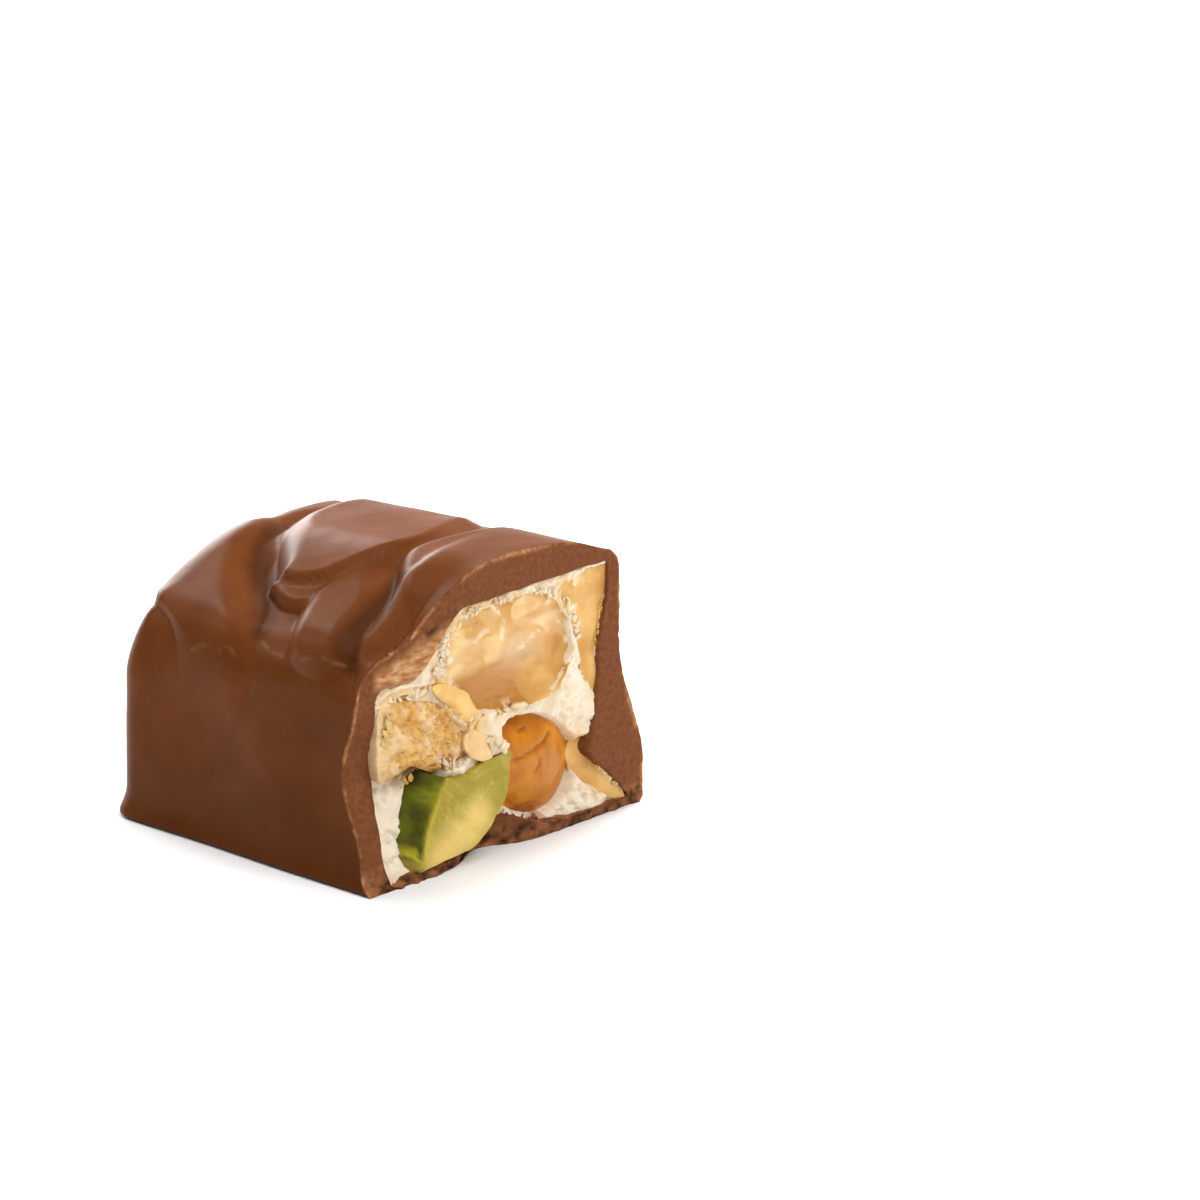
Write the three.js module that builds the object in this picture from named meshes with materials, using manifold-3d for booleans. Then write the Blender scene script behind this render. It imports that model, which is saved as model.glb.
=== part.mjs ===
// Half of a chocolate-covered nougat bar, cut across the middle and standing on its flat base.
// The coating is a thick milk-chocolate shell, poured over the filling so that its top lies in
// slanting folds. At the cut it is open, and shows white nougat with pieces of nut set in it.
// Millimetres. X runs across the bar, Y from the cut towards the closed end, Z up.
import * as THREE from "three";
import { mergeVertices } from "three/addons/utils/BufferGeometryUtils.js";
import Module from "manifold-3d";

const { smoothstep, clamp } = THREE.MathUtils;
const wasm = await Module();
wasm.setup();

// ---- Driving dimensions -------------------------------------------------------------------

const BAR_WIDTH = 28.2; // across the base, at the cut
const BAR_LENGTH = 26.2; // from the cut to the closed end
const SHOULDER_HEIGHT = 16; // where the left side turns into the top
const CROWN_HEIGHT = 20.9; // middle of the top, at the cut
const DROP = 0.09; // how much lower the top lies for each millimetre towards the closed end
const FOOT_HEIGHT = 1.2; // the chocolate spreads a little where it ran down to the belt
const END_WALL = 2.6; // thickness of the coating at the closed end
const FIT_GAP = 0.2; // clearance between pieces that touch

// Everything below is laid out from the bar's left bottom corner at the cut. The group at the
// end moves it, so that the origin is under the middle of the bar.

// A smooth rise and fall along one direction, 1 at its centre.
const hill = (t, centre, reach) => Math.exp(-(((t - centre) / reach) ** 2));

// Two surfaces' distances joined into one, with their meeting edge rounded to a radius.
const roundMeet = (a, b, radius) =>
  Math.min(Math.max(a, b), -radius) +
  Math.hypot(Math.max(a + radius, 0), Math.max(b + radius, 0));

// ---- Outer form of the coating, before its folds --------------------------------------------

const leftSkin = (y, z) =>
  0.4 * (1 - hill(z, 0, FOOT_HEIGHT)) + 0.35 * (z / SHOULDER_HEIGHT) +
  0.18 * Math.sin(y * 0.42 + 1.2) * hill(z, 7, 6);

const rightSkin = (y, z) =>
  BAR_WIDTH - 2.5 * (0.4 + 0.6 * (1 - smoothstep(y, 2, 18))) * smoothstep(z, 3, 12.5) -
  0.5 * smoothstep(y, 4, 20);

const endSkin = (x, z) =>
  BAR_LENGTH - 0.45 * (1 - hill(z, 0, FOOT_HEIGHT)) - 0.5 * (z / CROWN_HEIGHT) ** 2;

// The top's height. It sinks beside the cut, where the knife pressed it down.
const crown = (x, y) =>
  SHOULDER_HEIGHT + (CROWN_HEIGHT - SHOULDER_HEIGHT) * smoothstep(x, -2.5, 12.5) -
  1.9 * hill(x, 4.6, 4.6) * (1 - smoothstep(y, 0.8, 4.2)) -
  1.2 * (Math.max(0, x - 15) / 10) ** 2 - DROP * y;

// Negative inside the bar, 0 on its skin.
function coatForm(x, y, z) {
  const along = clamp(y, 0, BAR_LENGTH);
  const sides = Math.max(leftSkin(along, z) - x, x - rightSkin(along, z));
  const walls = roundMeet(sides, y - endSkin(x, z), 2.2);
  const rounding = 2.6 - 1.3 * smoothstep(x, 10, 20) + 1.3 * smoothstep(along, 15, 24);
  return roundMeet(roundMeet(walls, z - crown(x, along), rounding), -z, 0.5);
}

// ---- Folds of the poured chocolate --------------------------------------------------------

// Each fold is a lobe with a closed outline. The outline's points are: how far from the left
// shoulder, across the top or, below 0, down the side; how far from the cut; how wide the lobe's
// edge is there; and how crisp, from 0, rolled over, to 1, a slope up to a sharp crest. Its
// height falls off by tilt from a point of its middle. Those on top rise from the others.
const LOBES = [
  { name: "far", height: 0.9, edge: [
    [-6, 12.4, 3, 0], [-1, 12.3, 2.4, 0], [0.9, 12.6, 2.2, 0], [2.5, 13.9, 2.2, 0],
    [4.2, 15.6, 2.2, 0], [6, 17.4, 2.2, 0], [8.8, 19.6, 2.4, 0], [11, 20.1, 2.4, 0],
    [14, 20.3, 2.4, 0], [20, 20.4, 2, 0], [24, 31, 3, 0], [-9, 31, 3, 0], [-9, 20, 3, 0]] },
  { name: "high", height: 1.55, tilt: [-0.035, 0.02], about: [12, 14], edge: [
    [5.1, 14.3, 1.3, 0], [6.3, 15.6, 2, 0], [7.8, 17.1, 2.3, 0], [9.5, 18.7, 2.5, 0],
    [11.4, 20.2, 2.5, 0], [14.5, 21.4, 2.4, 0], [21, 22.5, 3, 0], [26, 18, 3, 0],
    [24, 9.8, 3, 0.5], [18.5, 7.2, 2.6, 0.8], [14.1, 6, 2.3, 1], [11.2, 6.1, 2.2, 1],
    [8.8, 7.3, 1.8, 1], [7, 8.7, 1.3, 1], [5.6, 10.3, 1, 0.9], [5, 12.5, 1, 0.4]] },
  { name: "facet", height: 1.15, tilt: [-0.1, 0.05], about: [4, 12.5], edge: [
    [3.7, 10.6, 0.9, 0], [3.7, 12.4, 0.8, 0], [4.3, 13.9, 0.9, 0], [5.3, 15.2, 0.9, 0],
    [8, 13.5, 1, 0], [8, 10.5, 0.8, 0], [6, 8.9, 1, 0], [4.6, 9.2, 1.1, 0]] },
  { name: "middle", height: 1.25, cap: 1.35, tilt: [-0.06, 0.02], about: [4, 7.5], edge: [
    [0, 8.9, 1.7, 0], [1.8, 9.8, 1.8, 0], [3.6, 10.7, 1.8, 0], [5.4, 11.3, 1.8, 0.1],
    [9.5, 11.2, 2, 0.3], [13.5, 10.4, 2, 0], [12.4, 8.6, 2.2, 0.3], [9.6, 6.9, 2.3, 0.4],
    [7.6, 5.1, 2.2, 0.4], [5.6, 4.1, 2, 0.3], [3.4, 4, 1.8, 0], [1, 3.6, 1.6, 0],
    [-0.7, 4, 1.5, 0], [-1.3, 5.9, 1.5, 0], [-0.9, 7.7, 1.5, 0]] },
  { name: "near", height: 1.05, tilt: [-0.01, 0.06], about: [6, 3.5], edge: [
    [-1.8, 1, 1.4, 0], [-1.2, 2.3, 1.3, 0], [0.8, 3.5, 1.1, 0], [2.2, 4.1, 1, 0],
    [3.7, 4.2, 1, 0], [5.2, 4.2, 1, 0], [6.6, 4.7, 1.1, 0.1], [8.2, 6, 1.3, 0.3],
    [9.9, 7.6, 1.4, 0.4], [12.4, 8.4, 1.6, 0.4], [16, 8.4, 1.8, 0.4], [21, 8, 2.4, 0.3],
    [26, 4, 3, 0], [26, -4, 3, 0], [-1, -4, 3, 0]] },
  { name: "ripple", onTop: true, height: 0.35, tilt: [-0.03, 0], about: [8, 4], edge: [
    [5, 0.6, 2, 0], [6.2, 3.2, 1.2, 0], [7.6, 4.3, 0.8, 0], [9.2, 4.5, 0.7, 0], [11, 4.8, 0.8, 0],
    [13, 5.3, 1.1, 0], [17, 5.8, 1.8, 0], [22, 5.6, 3, 0], [27, 3, 3, 0], [27, -4, 3, 0],
    [3, -5, 3, 0]] },
  { name: "curl", onTop: true, height: 0.5, edge: [
    [-6, 12.4, 3, 0], [2.2, 13, 3, 0], [6.4, 16.8, 3.4, 0], [12, 20.4, 3, 0], [14, 31, 3, 0],
    [4, 31, 1, 0], [2.6, 25, 0.9, 0], [2, 23, 0.7, 0], [1.4, 21.6, 0.6, 0], [0.7, 20.6, 0.7, 0],
    [-0.6, 19.6, 1.6, 0], [-3.4, 18.7, 3, 0], [-7, 17, 3, 0]] },
].map((lobe) => ({ tilt: [0, 0], about: [0, 0], cap: Infinity, ...lobe, edge: smooth(lobe.edge) }));
const SOFT_CREASE = 0.3;

// A closed curve through the points, with a few pieces from each to the next.
function smooth(points, steps = 4) {
  const at = (i) => points[(i + points.length) % points.length];
  const curve = [];
  for (let i = 0; i < points.length; i++) {
    for (let t = 0; t < 1; t += 1 / steps) {
      curve.push(points[i].map((here, k) => {
        const [before, after, beyond] = [at(i - 1)[k], at(i + 1)[k], at(i + 2)[k]];
        return 0.5 * (2 * here + (after - before) * t +
          (2 * before - 5 * here + 4 * after - beyond) * t ** 2 +
          (3 * here - before - 3 * after + beyond) * t ** 3);
      }));
    }
  }
  return curve;
}

// How far a point lies inside a closed outline, and the outline's width and crispness there.
function insideOutline(outline, s, y) {
  let nearest = { distance: Infinity, width: 1, crisp: 0 };
  let inside = false;
  outline.forEach((a, i) => {
    const b = outline[(i + 1) % outline.length];
    const run = [b[0] - a[0], b[1] - a[1]];
    const length = run[0] ** 2 + run[1] ** 2 + 1e-9;
    const share = clamp(((s - a[0]) * run[0] + (y - a[1]) * run[1]) / length, 0, 1);
    const distance = Math.hypot(s - a[0] - share * run[0], y - a[1] - share * run[1]);
    if (distance < nearest.distance) {
      const width = a[2] + (b[2] - a[2]) * share;
      nearest = { distance, width: Math.max(width, 0.1), crisp: a[3] + (b[3] - a[3]) * share };
    }
    const crosses = a[1] > y !== b[1] > y;
    if (crosses && s < a[0] + (run[0] * (y - a[1])) / run[1]) inside = !inside;
  });
  return { ...nearest, depth: inside ? nearest.distance : -nearest.distance };
}

function foldHeight(s, y) {
  let height = 0;
  let onTop = 0;
  for (const lobe of LOBES) {
    const { depth, width, crisp } = insideOutline(lobe.edge, s, y);
    const roll = clamp(depth / width, 0, 1);
    const rolled = 0.6 * Math.sqrt(1 - (1 - roll) ** 2) + 0.4 * smoothstep(roll, 0, 1);
    const profile = rolled * (1 - crisp) + roll ** 1.5 * crisp;
    const level = lobe.height + lobe.tilt[0] * (s - lobe.about[0]) +
      lobe.tilt[1] * (y - lobe.about[1]);
    const rise = clamp(level, 0, lobe.cap) * profile;
    if (lobe.onTop) {
      onTop += rise;
    } else {
      const apart = Math.max(SOFT_CREASE - Math.abs(height - rise), 0) / SOFT_CREASE;
      height = Math.max(height, rise) + (apart ** 2 * SOFT_CREASE) / 4;
    }
  }
  return height + onTop;
}

// Moves a point of the coating's plain form out by its folds, which fade towards the right
// side, the closed end and the foot.
function raiseFolds({ x, y, z }) {
  const step = 0.02;
  const slope = (dx, dy, dz) =>
    coatForm(x + dx, y + dy, z + dz) - coatForm(x - dx, y - dy, z - dz);
  const normal = new THREE.Vector3(
    slope(step, 0, 0), y < 1.5 ? 0 : slope(0, step, 0), slope(0, 0, step)).normalize();
  const s = z - crown(x, clamp(y, 0, BAR_LENGTH)) - (leftSkin(y, z) - x);
  const kept = (1 - smoothstep(x, 20, 25)) * (1 - smoothstep(y, 23, 26.5)) *
    smoothstep(z, 8, 15) * (0.35 + 0.65 * smoothstep(s, -2.5, 3));
  return new THREE.Vector3(x, y, z).addScaledVector(normal, foldHeight(s, y) * kept);
}

// ---- Form of the filling ------------------------------------------------------------------

const leftWall = (z) => 2.55 + 0.65 * hill(z, 7.8, 4);
const rightWall = (z) =>
  23.1 + 1.5 * smoothstep(z, 10, 18) + 0.4 * hill(z, 10.5, 1.6) - 0.6 * hill(z, 5.3, 0.9) +
  3.4 * (1 - smoothstep(z, 0.5, 5));
const topWall = (x, y) => 14.3 + 4.7 * smoothstep(x, 5.2, 10) - DROP * y;
const baseWall = (x) => 0.2 + 0.45 * smoothstep(x, 3, 5) + 1.5 * hill(x, 14.4, 2.8);

function fillingForm(x, y, z) {
  const left = leftWall(z) - x;
  const right = x - rightWall(z);
  const top = z - topWall(x, clamp(y, 0, BAR_LENGTH));
  const section = Math.max(roundMeet(left, top, 0.8), roundMeet(right, top, 0.5));
  const sides = roundMeet(section, y - (BAR_LENGTH - END_WALL), 1.5);
  return Math.max(sides, baseWall(x) - z);
}

// ---- Solids from forms --------------------------------------------------------------------

function solidOf(geometry) {
  geometry.deleteAttribute("normal");
  geometry.deleteAttribute("uv");
  const merged = mergeVertices(geometry, 1e-4);
  return new wasm.Manifold(
    new wasm.Mesh({
      numProp: 3,
      vertProperties: merged.attributes.position.array,
      triVerts: new Uint32Array(merged.index.array),
    }),
  );
}

function geometryOf(solid) {
  const mesh = solid.getMesh();
  return new THREE.BufferGeometry()
    .setAttribute("position", new THREE.BufferAttribute(mesh.vertProperties, 3))
    .setIndex(new THREE.BufferAttribute(mesh.triVerts, 1));
}

// Moves every vertex of a geometry to where place(point) puts it.
function reshape(geometry, place) {
  const position = geometry.attributes.position;
  const point = new THREE.Vector3();
  for (let i = 0; i < position.count; i++) {
    point.fromBufferAttribute(position, i);
    place(point);
    position.setXYZ(i, point.x, point.y, point.z);
  }
  return geometry;
}

const PAST_CUT = -3; // forms run on this far past the cut, and are then cut back
const OUTER = new THREE.Box3(new THREE.Vector3(-2, PAST_CUT, -1), new THREE.Vector3(31, 28, 23));
const CORE = new THREE.Box3(new THREE.Vector3(6, PAST_CUT, 3), new THREE.Vector3(20.5, 20, 12.5));

// The point where the line from the core, out through a point of the outer box, leaves a form.
function leaveForm(form, point, grow) {
  const start = CORE.clampPoint(point, new THREE.Vector3());
  const out = point.clone().sub(start);
  let inside = 0;
  let outside = 1;
  for (let i = 0; i < 26; i++) {
    const t = (inside + outside) / 2;
    const v = form(start.x + out.x * t, start.y + out.y * t, start.z + out.z * t);
    if (v < grow) inside = t;
    else outside = t;
  }
  return start.addScaledVector(out, inside);
}

// A form as a solid: a box's grid, moved onto it. grow makes it fatter all round, or thinner,
// and finish moves the points that were found.
function formSolid(form, steps, grow = 0, finish = (point) => point) {
  const size = OUTER.getSize(new THREE.Vector3());
  const middle = OUTER.getCenter(new THREE.Vector3());
  const box = new THREE.BoxGeometry(size.x, size.y, size.z, ...steps);
  box.translate(middle.x, middle.y, middle.z);
  const onSkin = (point) => {
    const reached = finish(leaveForm(form, point, grow));
    if (Math.abs(reached.z) < 1e-3) reached.z = 0;
    return reached;
  };
  return solidOf(
    reshape(box, (point) => {
      const across = (point.x - middle.x) / (size.x / 2);
      const up = (point.z - middle.z) / (size.z / 2);
      const share = Math.max(Math.abs(across), Math.abs(up));
      if (point.y > PAST_CUT + 1e-6 || share > 1 - 1e-6) {
        point.copy(onSkin(point));
        return;
      }
      // A point of the flat front lies on the line from the middle to the front's edge.
      const heart = CORE.getCenter(new THREE.Vector3()).setY(PAST_CUT);
      if (share > 1e-6) {
        const edge = new THREE.Vector3(
          middle.x + ((across / share) * size.x) / 2,
          PAST_CUT,
          middle.z + ((up / share) * size.z) / 2,
        );
        heart.lerp(onSkin(edge), share);
      }
      point.copy(heart);
    }),
  );
}

// ---- The cut ------------------------------------------------------------------------------

// How far the broken edge of the coating lies behind the foremost point of the cut.
const cutDepth = (x, z) =>
  (3.2 * hill(z, 8.2, 5.5) + 0.35 * hill(z, 1.6, 1.6) + 1.1 * smoothstep(z, 11, 16)) *
  smoothstep(z, -0.6, 1.2) * (1 - smoothstep(x, 1, 11)) +
  1.7 * hill(x, 12.5, 2.6) * hill(z, 0, 3);

// A small repeatable unevenness from -1 to 1, for broken faces.
const rough = (x, z, scale) =>
  Math.sin(x * 2.1 * scale + Math.sin(z * 1.7 * scale)) *
  Math.sin(z * 2.3 * scale + Math.sin(x * 1.3 * scale + 2));

// How far the nougat's rough face lies behind it: further round the skinned almond and under
// the pistachio, less where a knob of it stands up between them.
const nougatLevel = (x, z) =>
  cutDepth(x, z) * 0.92 + 0.45 +
  1.9 * hill(x, 17.2, 4.2) * hill(z, 5.2, 4.6) * (1 - smoothstep(x, 22, 23.6)) +
  0.8 * hill(x, 6, 4) * hill(z, 3.5, 3.5) -
  1.3 * hill(x, 13.2, 1) * hill(z, 8, 0.8) +
  0.22 * rough(x, z, 1.3);

// A tool that takes away all that is in front of a surface y = depth(x, z).
function cutTool(depth, stepsAcross, stepsUp) {
  const slab = new THREE.BoxGeometry(36, 12, 28, stepsAcross, 1, stepsUp);
  slab.translate(14, -6, 10.5);
  return solidOf(
    reshape(slab, (point) => {
      if (point.y > -1e-6) point.y = depth(point.x, point.z);
    }),
  );
}

// ---- Nut pieces ---------------------------------------------------------------------------

// A nut piece set in the nougat. outline is what shows at the cut, seen from the front, as
// [x, z] round the piece. Behind it the piece rounds off at its depth. front is how far the
// middle of the shown face lies behind the foremost point of the cut, leanX and leanZ tilt it,
// and dome makes it bulge. flare makes the piece wider behind than at its face. Left of bend,
// a line that leans across the face, the face turns away.
const PIECES = {
  pistachio: {
    outline: [[5.8, 6.7], [6.6, 7.4], [7.6, 7], [9.4, 6.6], [12, 7.1], [14, 7.4], [14.4, 7.1],
      [14.2, 6.2], [13.9, 4.3], [12.9, 3], [11.5, 1.9], [10.2, 1.3], [7.6, 1.1], [6, 0.9],
      [5, 0.9], [4.6, 1.4], [4.7, 2.5], [5.15, 4.3], [5.5, 5.6]],
    front: 0, leanX: -0.02, leanZ: 0.02, dome: 0, depth: 4.5, flare: 0, texture: 0.1,
    bend: { foot: 5.1, lean: 0.38, slope: 1.9 }, color: 0xa7ab3c, roughness: 0.5,
  },
  almond_chip: {
    outline: [[10.2, 9.5], [11.1, 9.6], [12.1, 8.9], [12.7, 7.7], [12.5, 7], [11.4, 7.2],
      [10.5, 7.9], [10, 8.7]],
    front: 0.25, leanX: -0.06, leanZ: 0.05, dome: 0.2, depth: 1.2, flare: 0, texture: 0,
    color: 0xf0bd80, roughness: 0.45,
  },
  almond_sliver: {
    outline: [[7.1, 13.7], [8.4, 13.7], [9.3, 13.2], [10.3, 12.6], [10.8, 11.9], [11.3, 10.8],
      [10.6, 10.4], [9.6, 10.9], [8.7, 11.9], [7.6, 12.8]],
    front: 0.4, leanX: 0, leanZ: 0.08, dome: 0.35, depth: 1.2, flare: 0, texture: 0.08,
    color: 0xeeb871, roughness: 0.5,
  },
  almond_large: {
    outline: [[8.8, 13], [8.3, 15], [8.4, 16.6], [9.5, 18.3], [12.9, 18.4], [16.9, 18.5],
      [18.7, 17.9], [20, 16.8], [20.8, 15.5], [21.3, 13.8], [21.1, 12.6], [19.8, 10.8],
      [18.7, 10.2], [16.4, 10], [13.9, 10.1], [11.2, 10.9], [9.9, 11.9]],
    front: 0.5, leanX: -0.02, leanZ: 0.03, dome: 0, depth: 6.5, flare: 0.2, texture: 0.2,
    color: 0xd9a658, roughness: 0.45,
  },
  almond_skinned: {
    outline: [[13.9, 8.4], [14.9, 9.1], [16.4, 9.3], [18.2, 9.1], [20.1, 8.2], [21.2, 7.3],
      [21.9, 6.3], [22.3, 5.2], [22.2, 3.7], [21.7, 2.3], [20.9, 1.4], [19.8, 1], [18.5, 1],
      [17.2, 1.4], [15.6, 2.3], [14.3, 4.2], [13.4, 6.6]],
    front: 2.2, leanX: -0.06, leanZ: 0, dome: 1.5, depth: 5.5, flare: 0, texture: 0.05,
    color: 0xa8642a, roughness: 0.45,
  },
  almond_left: {
    outline: [[2.9, 13.2], [5.9, 13], [7.7, 12.5], [8.9, 11.7], [10.4, 10.1], [10.9, 9],
      [11.1, 7.8], [10.4, 7.3], [9.4, 6.9], [7.8, 7], [6, 8], [4, 7.4], [3.1, 7.5],
      [2.8, 10.2]],
    front: 1.4, leanX: -0.1, leanZ: -0.05, dome: 0.4, depth: 5, flare: 0, texture: 0.25,
    color: 0xd8a35a, roughness: 0.7,
  },
  almond_right: {
    outline: [[20, 18.3], [22, 18.6], [24.6, 18.8], [24.9, 17.9], [24.3, 15.1], [23.7, 12.4],
      [23.8, 10.1], [23.4, 9], [22.7, 10], [21.8, 12.1], [21.1, 14.3], [20, 16.6]],
    front: 0.4, leanX: -0.03, leanZ: 0, dome: 0.1, depth: 5.5, flare: 0, texture: 0.12,
    color: 0xe0af60, roughness: 0.5,
  },
  almond_corner: {
    outline: [[22, 6.2], [23, 6.2], [23.4, 5.2], [23.8, 4.1], [24.5, 3], [25.6, 1.7],
      [26.3, 0.9], [25.2, 0.9], [24, 1.4], [23, 2.1], [22.2, 2.7], [21.8, 3.5], [21.6, 4.6],
      [21.7, 5.5]],
    front: 0.9, leanX: -0.3, leanZ: 0, dome: 0.1, depth: 3.5, flare: 0, texture: 0.1,
    color: 0xdcb070, roughness: 0.6,
  },
};

const STEPS_AROUND = 24;
const STEPS_DEEP = 10;
const LAST_FRONT_RING = Math.PI / 2 - Math.PI / STEPS_DEEP;
const CLEARED_IN_FRONT = 2.5;

// A sphere's rings moved onto a piece: the front half becomes its shown face, the back half
// its rounded back. With a gap it is the piece's pocket instead, that much wider all round
// and open to the front.
function pieceSolid(piece, gap = 0) {
  const edge = new THREE.CatmullRomCurve3(
    piece.outline.map(([x, z]) => new THREE.Vector3(x, 0, z)), true, "centripetal");
  const middle = new THREE.Vector3();
  for (const [x, z] of piece.outline) middle.add(new THREE.Vector3(x, 0, z));
  middle.divideScalar(piece.outline.length);
  const pastBend = (x, z) =>
    piece.bend ? Math.max(0, piece.bend.foot + piece.bend.lean * z - x) * piece.bend.slope : 0;
  const faceAt = (x, z, share) =>
    piece.front + piece.leanX * (x - middle.x) + piece.leanZ * (z - middle.z) -
    piece.dome * (1 - share ** 2) + piece.texture * rough(x, z, 1) * (1 - share ** 6);
  const ball = new THREE.SphereGeometry(1, STEPS_AROUND, STEPS_DEEP);
  const uv = ball.attributes.uv;
  let i = 0;
  return solidOf(
    reshape(ball, (point) => {
      const around = (1 - uv.getX(i)) % 1;
      const polar = Math.PI * (1 - uv.getY(i));
      i += 1;
      const cleared = gap > 0 && polar < LAST_FRONT_RING + 1e-3;
      const share = Math.sin(polar) / (cleared ? Math.sin(LAST_FRONT_RING) : 1);
      const tangent = edge.getTangent(around);
      const outward = new THREE.Vector3(-tangent.z, 0, tangent.x);
      const rim = edge.getPoint(around).addScaledVector(outward, gap);
      const behind = Math.max(0, -Math.cos(polar));
      const scale = share * (1 + (2 * piece.flare * behind) / rim.distanceTo(middle));
      const x = middle.x + (rim.x - middle.x) * scale;
      const z = middle.z + (rim.z - middle.z) * scale;
      const face = faceAt(x, z, share) + pastBend(x, z) * (1 - behind);
      point.set(x, cleared ? face - CLEARED_IN_FRONT : face + (piece.depth + gap) * behind, z);
    }),
  );
}

// ---- Nodes --------------------------------------------------------------------------------

const bar = new THREE.Group();

function addNode(name, solid, color, roughness) {
  const parts = solid.decompose();
  const largest = parts.reduce((a, b) => (b.volume() > a.volume() ? b : a));
  const material = new THREE.MeshStandardMaterial({ color, roughness, metalness: 0 });
  const mesh = new THREE.Mesh(geometryOf(largest), material);
  mesh.name = name;
  bar.add(mesh);
}

const coating = formSolid(coatForm, [26, 26, 10], 0, raiseFolds)
  .subtract(formSolid(fillingForm, [12, 8, 10]))
  .subtract(cutTool(cutDepth, 22, 17));
addNode("chocolate_coating", coating, 0x6b3f28, 0.4);

// Everything inside keeps clear of the coating's walls.
const room = formSolid(fillingForm, [12, 8, 10], -FIT_GAP);

// Each piece makes room for the ones before it, and the nougat for all of them.
let nougat = room.subtract(cutTool(nougatLevel, 24, 18));
const placed = [];
for (const [name, piece] of Object.entries(PIECES)) {
  let solid = pieceSolid(piece).intersect(room);
  for (const other of placed) solid = solid.subtract(other);
  addNode(name, solid, piece.color, piece.roughness);
  const pocket = pieceSolid(piece, FIT_GAP);
  nougat = nougat.subtract(pocket);
  placed.push(pocket);
}
addNode("nougat", nougat, 0xe9dfcb, 0.8);

bar.position.set(-BAR_WIDTH / 2, -BAR_LENGTH / 2, 0);

export default bar;
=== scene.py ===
"""Half of a chocolate-covered nougat bar, cut across the middle, on a pale floor.

Lengths are worked out in millimetres from the bar's left bottom corner at the cut, with X across
the bar, Y from the cut towards the closed end and Z up, and are made metres as each piece is built.
"""

import math

import bmesh
import bpy
import numpy as np
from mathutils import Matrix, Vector


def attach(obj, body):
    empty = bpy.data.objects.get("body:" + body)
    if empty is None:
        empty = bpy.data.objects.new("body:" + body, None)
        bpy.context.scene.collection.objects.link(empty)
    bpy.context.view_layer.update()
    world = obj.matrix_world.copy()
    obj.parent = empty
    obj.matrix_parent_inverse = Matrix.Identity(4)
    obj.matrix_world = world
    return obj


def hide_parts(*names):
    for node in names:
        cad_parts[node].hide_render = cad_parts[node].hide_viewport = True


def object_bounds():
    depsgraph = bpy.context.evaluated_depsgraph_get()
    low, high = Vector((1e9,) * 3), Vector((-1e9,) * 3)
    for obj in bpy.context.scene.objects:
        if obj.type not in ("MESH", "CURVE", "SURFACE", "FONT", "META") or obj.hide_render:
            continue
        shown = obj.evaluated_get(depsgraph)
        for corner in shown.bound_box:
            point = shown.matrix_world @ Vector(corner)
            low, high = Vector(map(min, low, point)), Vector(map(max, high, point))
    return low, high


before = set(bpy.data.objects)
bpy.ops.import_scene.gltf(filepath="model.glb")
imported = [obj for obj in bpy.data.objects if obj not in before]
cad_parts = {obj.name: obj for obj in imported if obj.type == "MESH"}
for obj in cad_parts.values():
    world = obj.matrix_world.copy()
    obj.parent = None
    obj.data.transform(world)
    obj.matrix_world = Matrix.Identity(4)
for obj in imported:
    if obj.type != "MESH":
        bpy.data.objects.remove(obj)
cad_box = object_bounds()


# ---- Camera, floor and light ------------------------------------------------------------------
# A long lens looks at the cut from the left and a little above. The bar stands on a white sheet.
# Soft lights above, in front and on its right show its colours; those behind it glint on the
# crests of the folds. The light on its right isn't mirrored, and the sheen is only mirrored.

MM = 0.001
BAR_WIDTH = 28.2
BAR_LENGTH = 26.2
CORNER = np.array([-BAR_WIDTH / 2, -BAR_LENGTH / 2, 0.0])

VIEW_AZIMUTH = math.radians(-47.35)
VIEW_ELEVATION = math.radians(18.41)
VIEW_DISTANCE = 600.0
VIEW_TARGET = np.array([37.354, 12.619, 10.0])
LENS = 245.9
SENSOR_WIDTH = 36.0
SHEET_SIZE = 1.2


def in_metres(point):
    return Vector((np.asarray(point) + CORNER) * MM)


def set_surface(shader, values):
    """Sets even values on a shader's own sockets."""
    for socket, value in values.items():
        shader.inputs[socket].default_value = value


back = np.array([
    math.sin(VIEW_AZIMUTH) * math.cos(VIEW_ELEVATION),
    -math.cos(VIEW_AZIMUTH) * math.cos(VIEW_ELEVATION),
    math.sin(VIEW_ELEVATION),
])
camera = bpy.data.objects.new("camera", bpy.data.cameras.new("camera"))
camera.data.lens = LENS
camera.data.sensor_width = SENSOR_WIDTH
camera.data.clip_start = 0.01
camera.location = in_metres(VIEW_TARGET + back * VIEW_DISTANCE)
camera.rotation_euler = Vector(-back).to_track_quat("-Z", "Y").to_euler()
bpy.context.scene.collection.objects.link(camera)
bpy.context.scene.camera = camera

floor_mesh = bmesh.new()
bmesh.ops.create_grid(floor_mesh, x_segments=8, y_segments=8, size=SHEET_SIZE)
floor_data = bpy.data.meshes.new("floor")
floor_mesh.to_mesh(floor_data)
floor = bpy.data.objects.new("floor", floor_data)
floor.location = (0.0, 0.0, cad_box[0].z)
bpy.context.scene.collection.objects.link(floor)
paper = bpy.data.materials.new("white_paper")
paper.use_nodes = True
set_surface(paper.node_tree.nodes["Principled BSDF"], {
    "Base Color": (0.86, 0.86, 0.86, 1), "Roughness": 0.9, "Specular IOR Level": 0.1})
floor_data.materials.append(paper)

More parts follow.
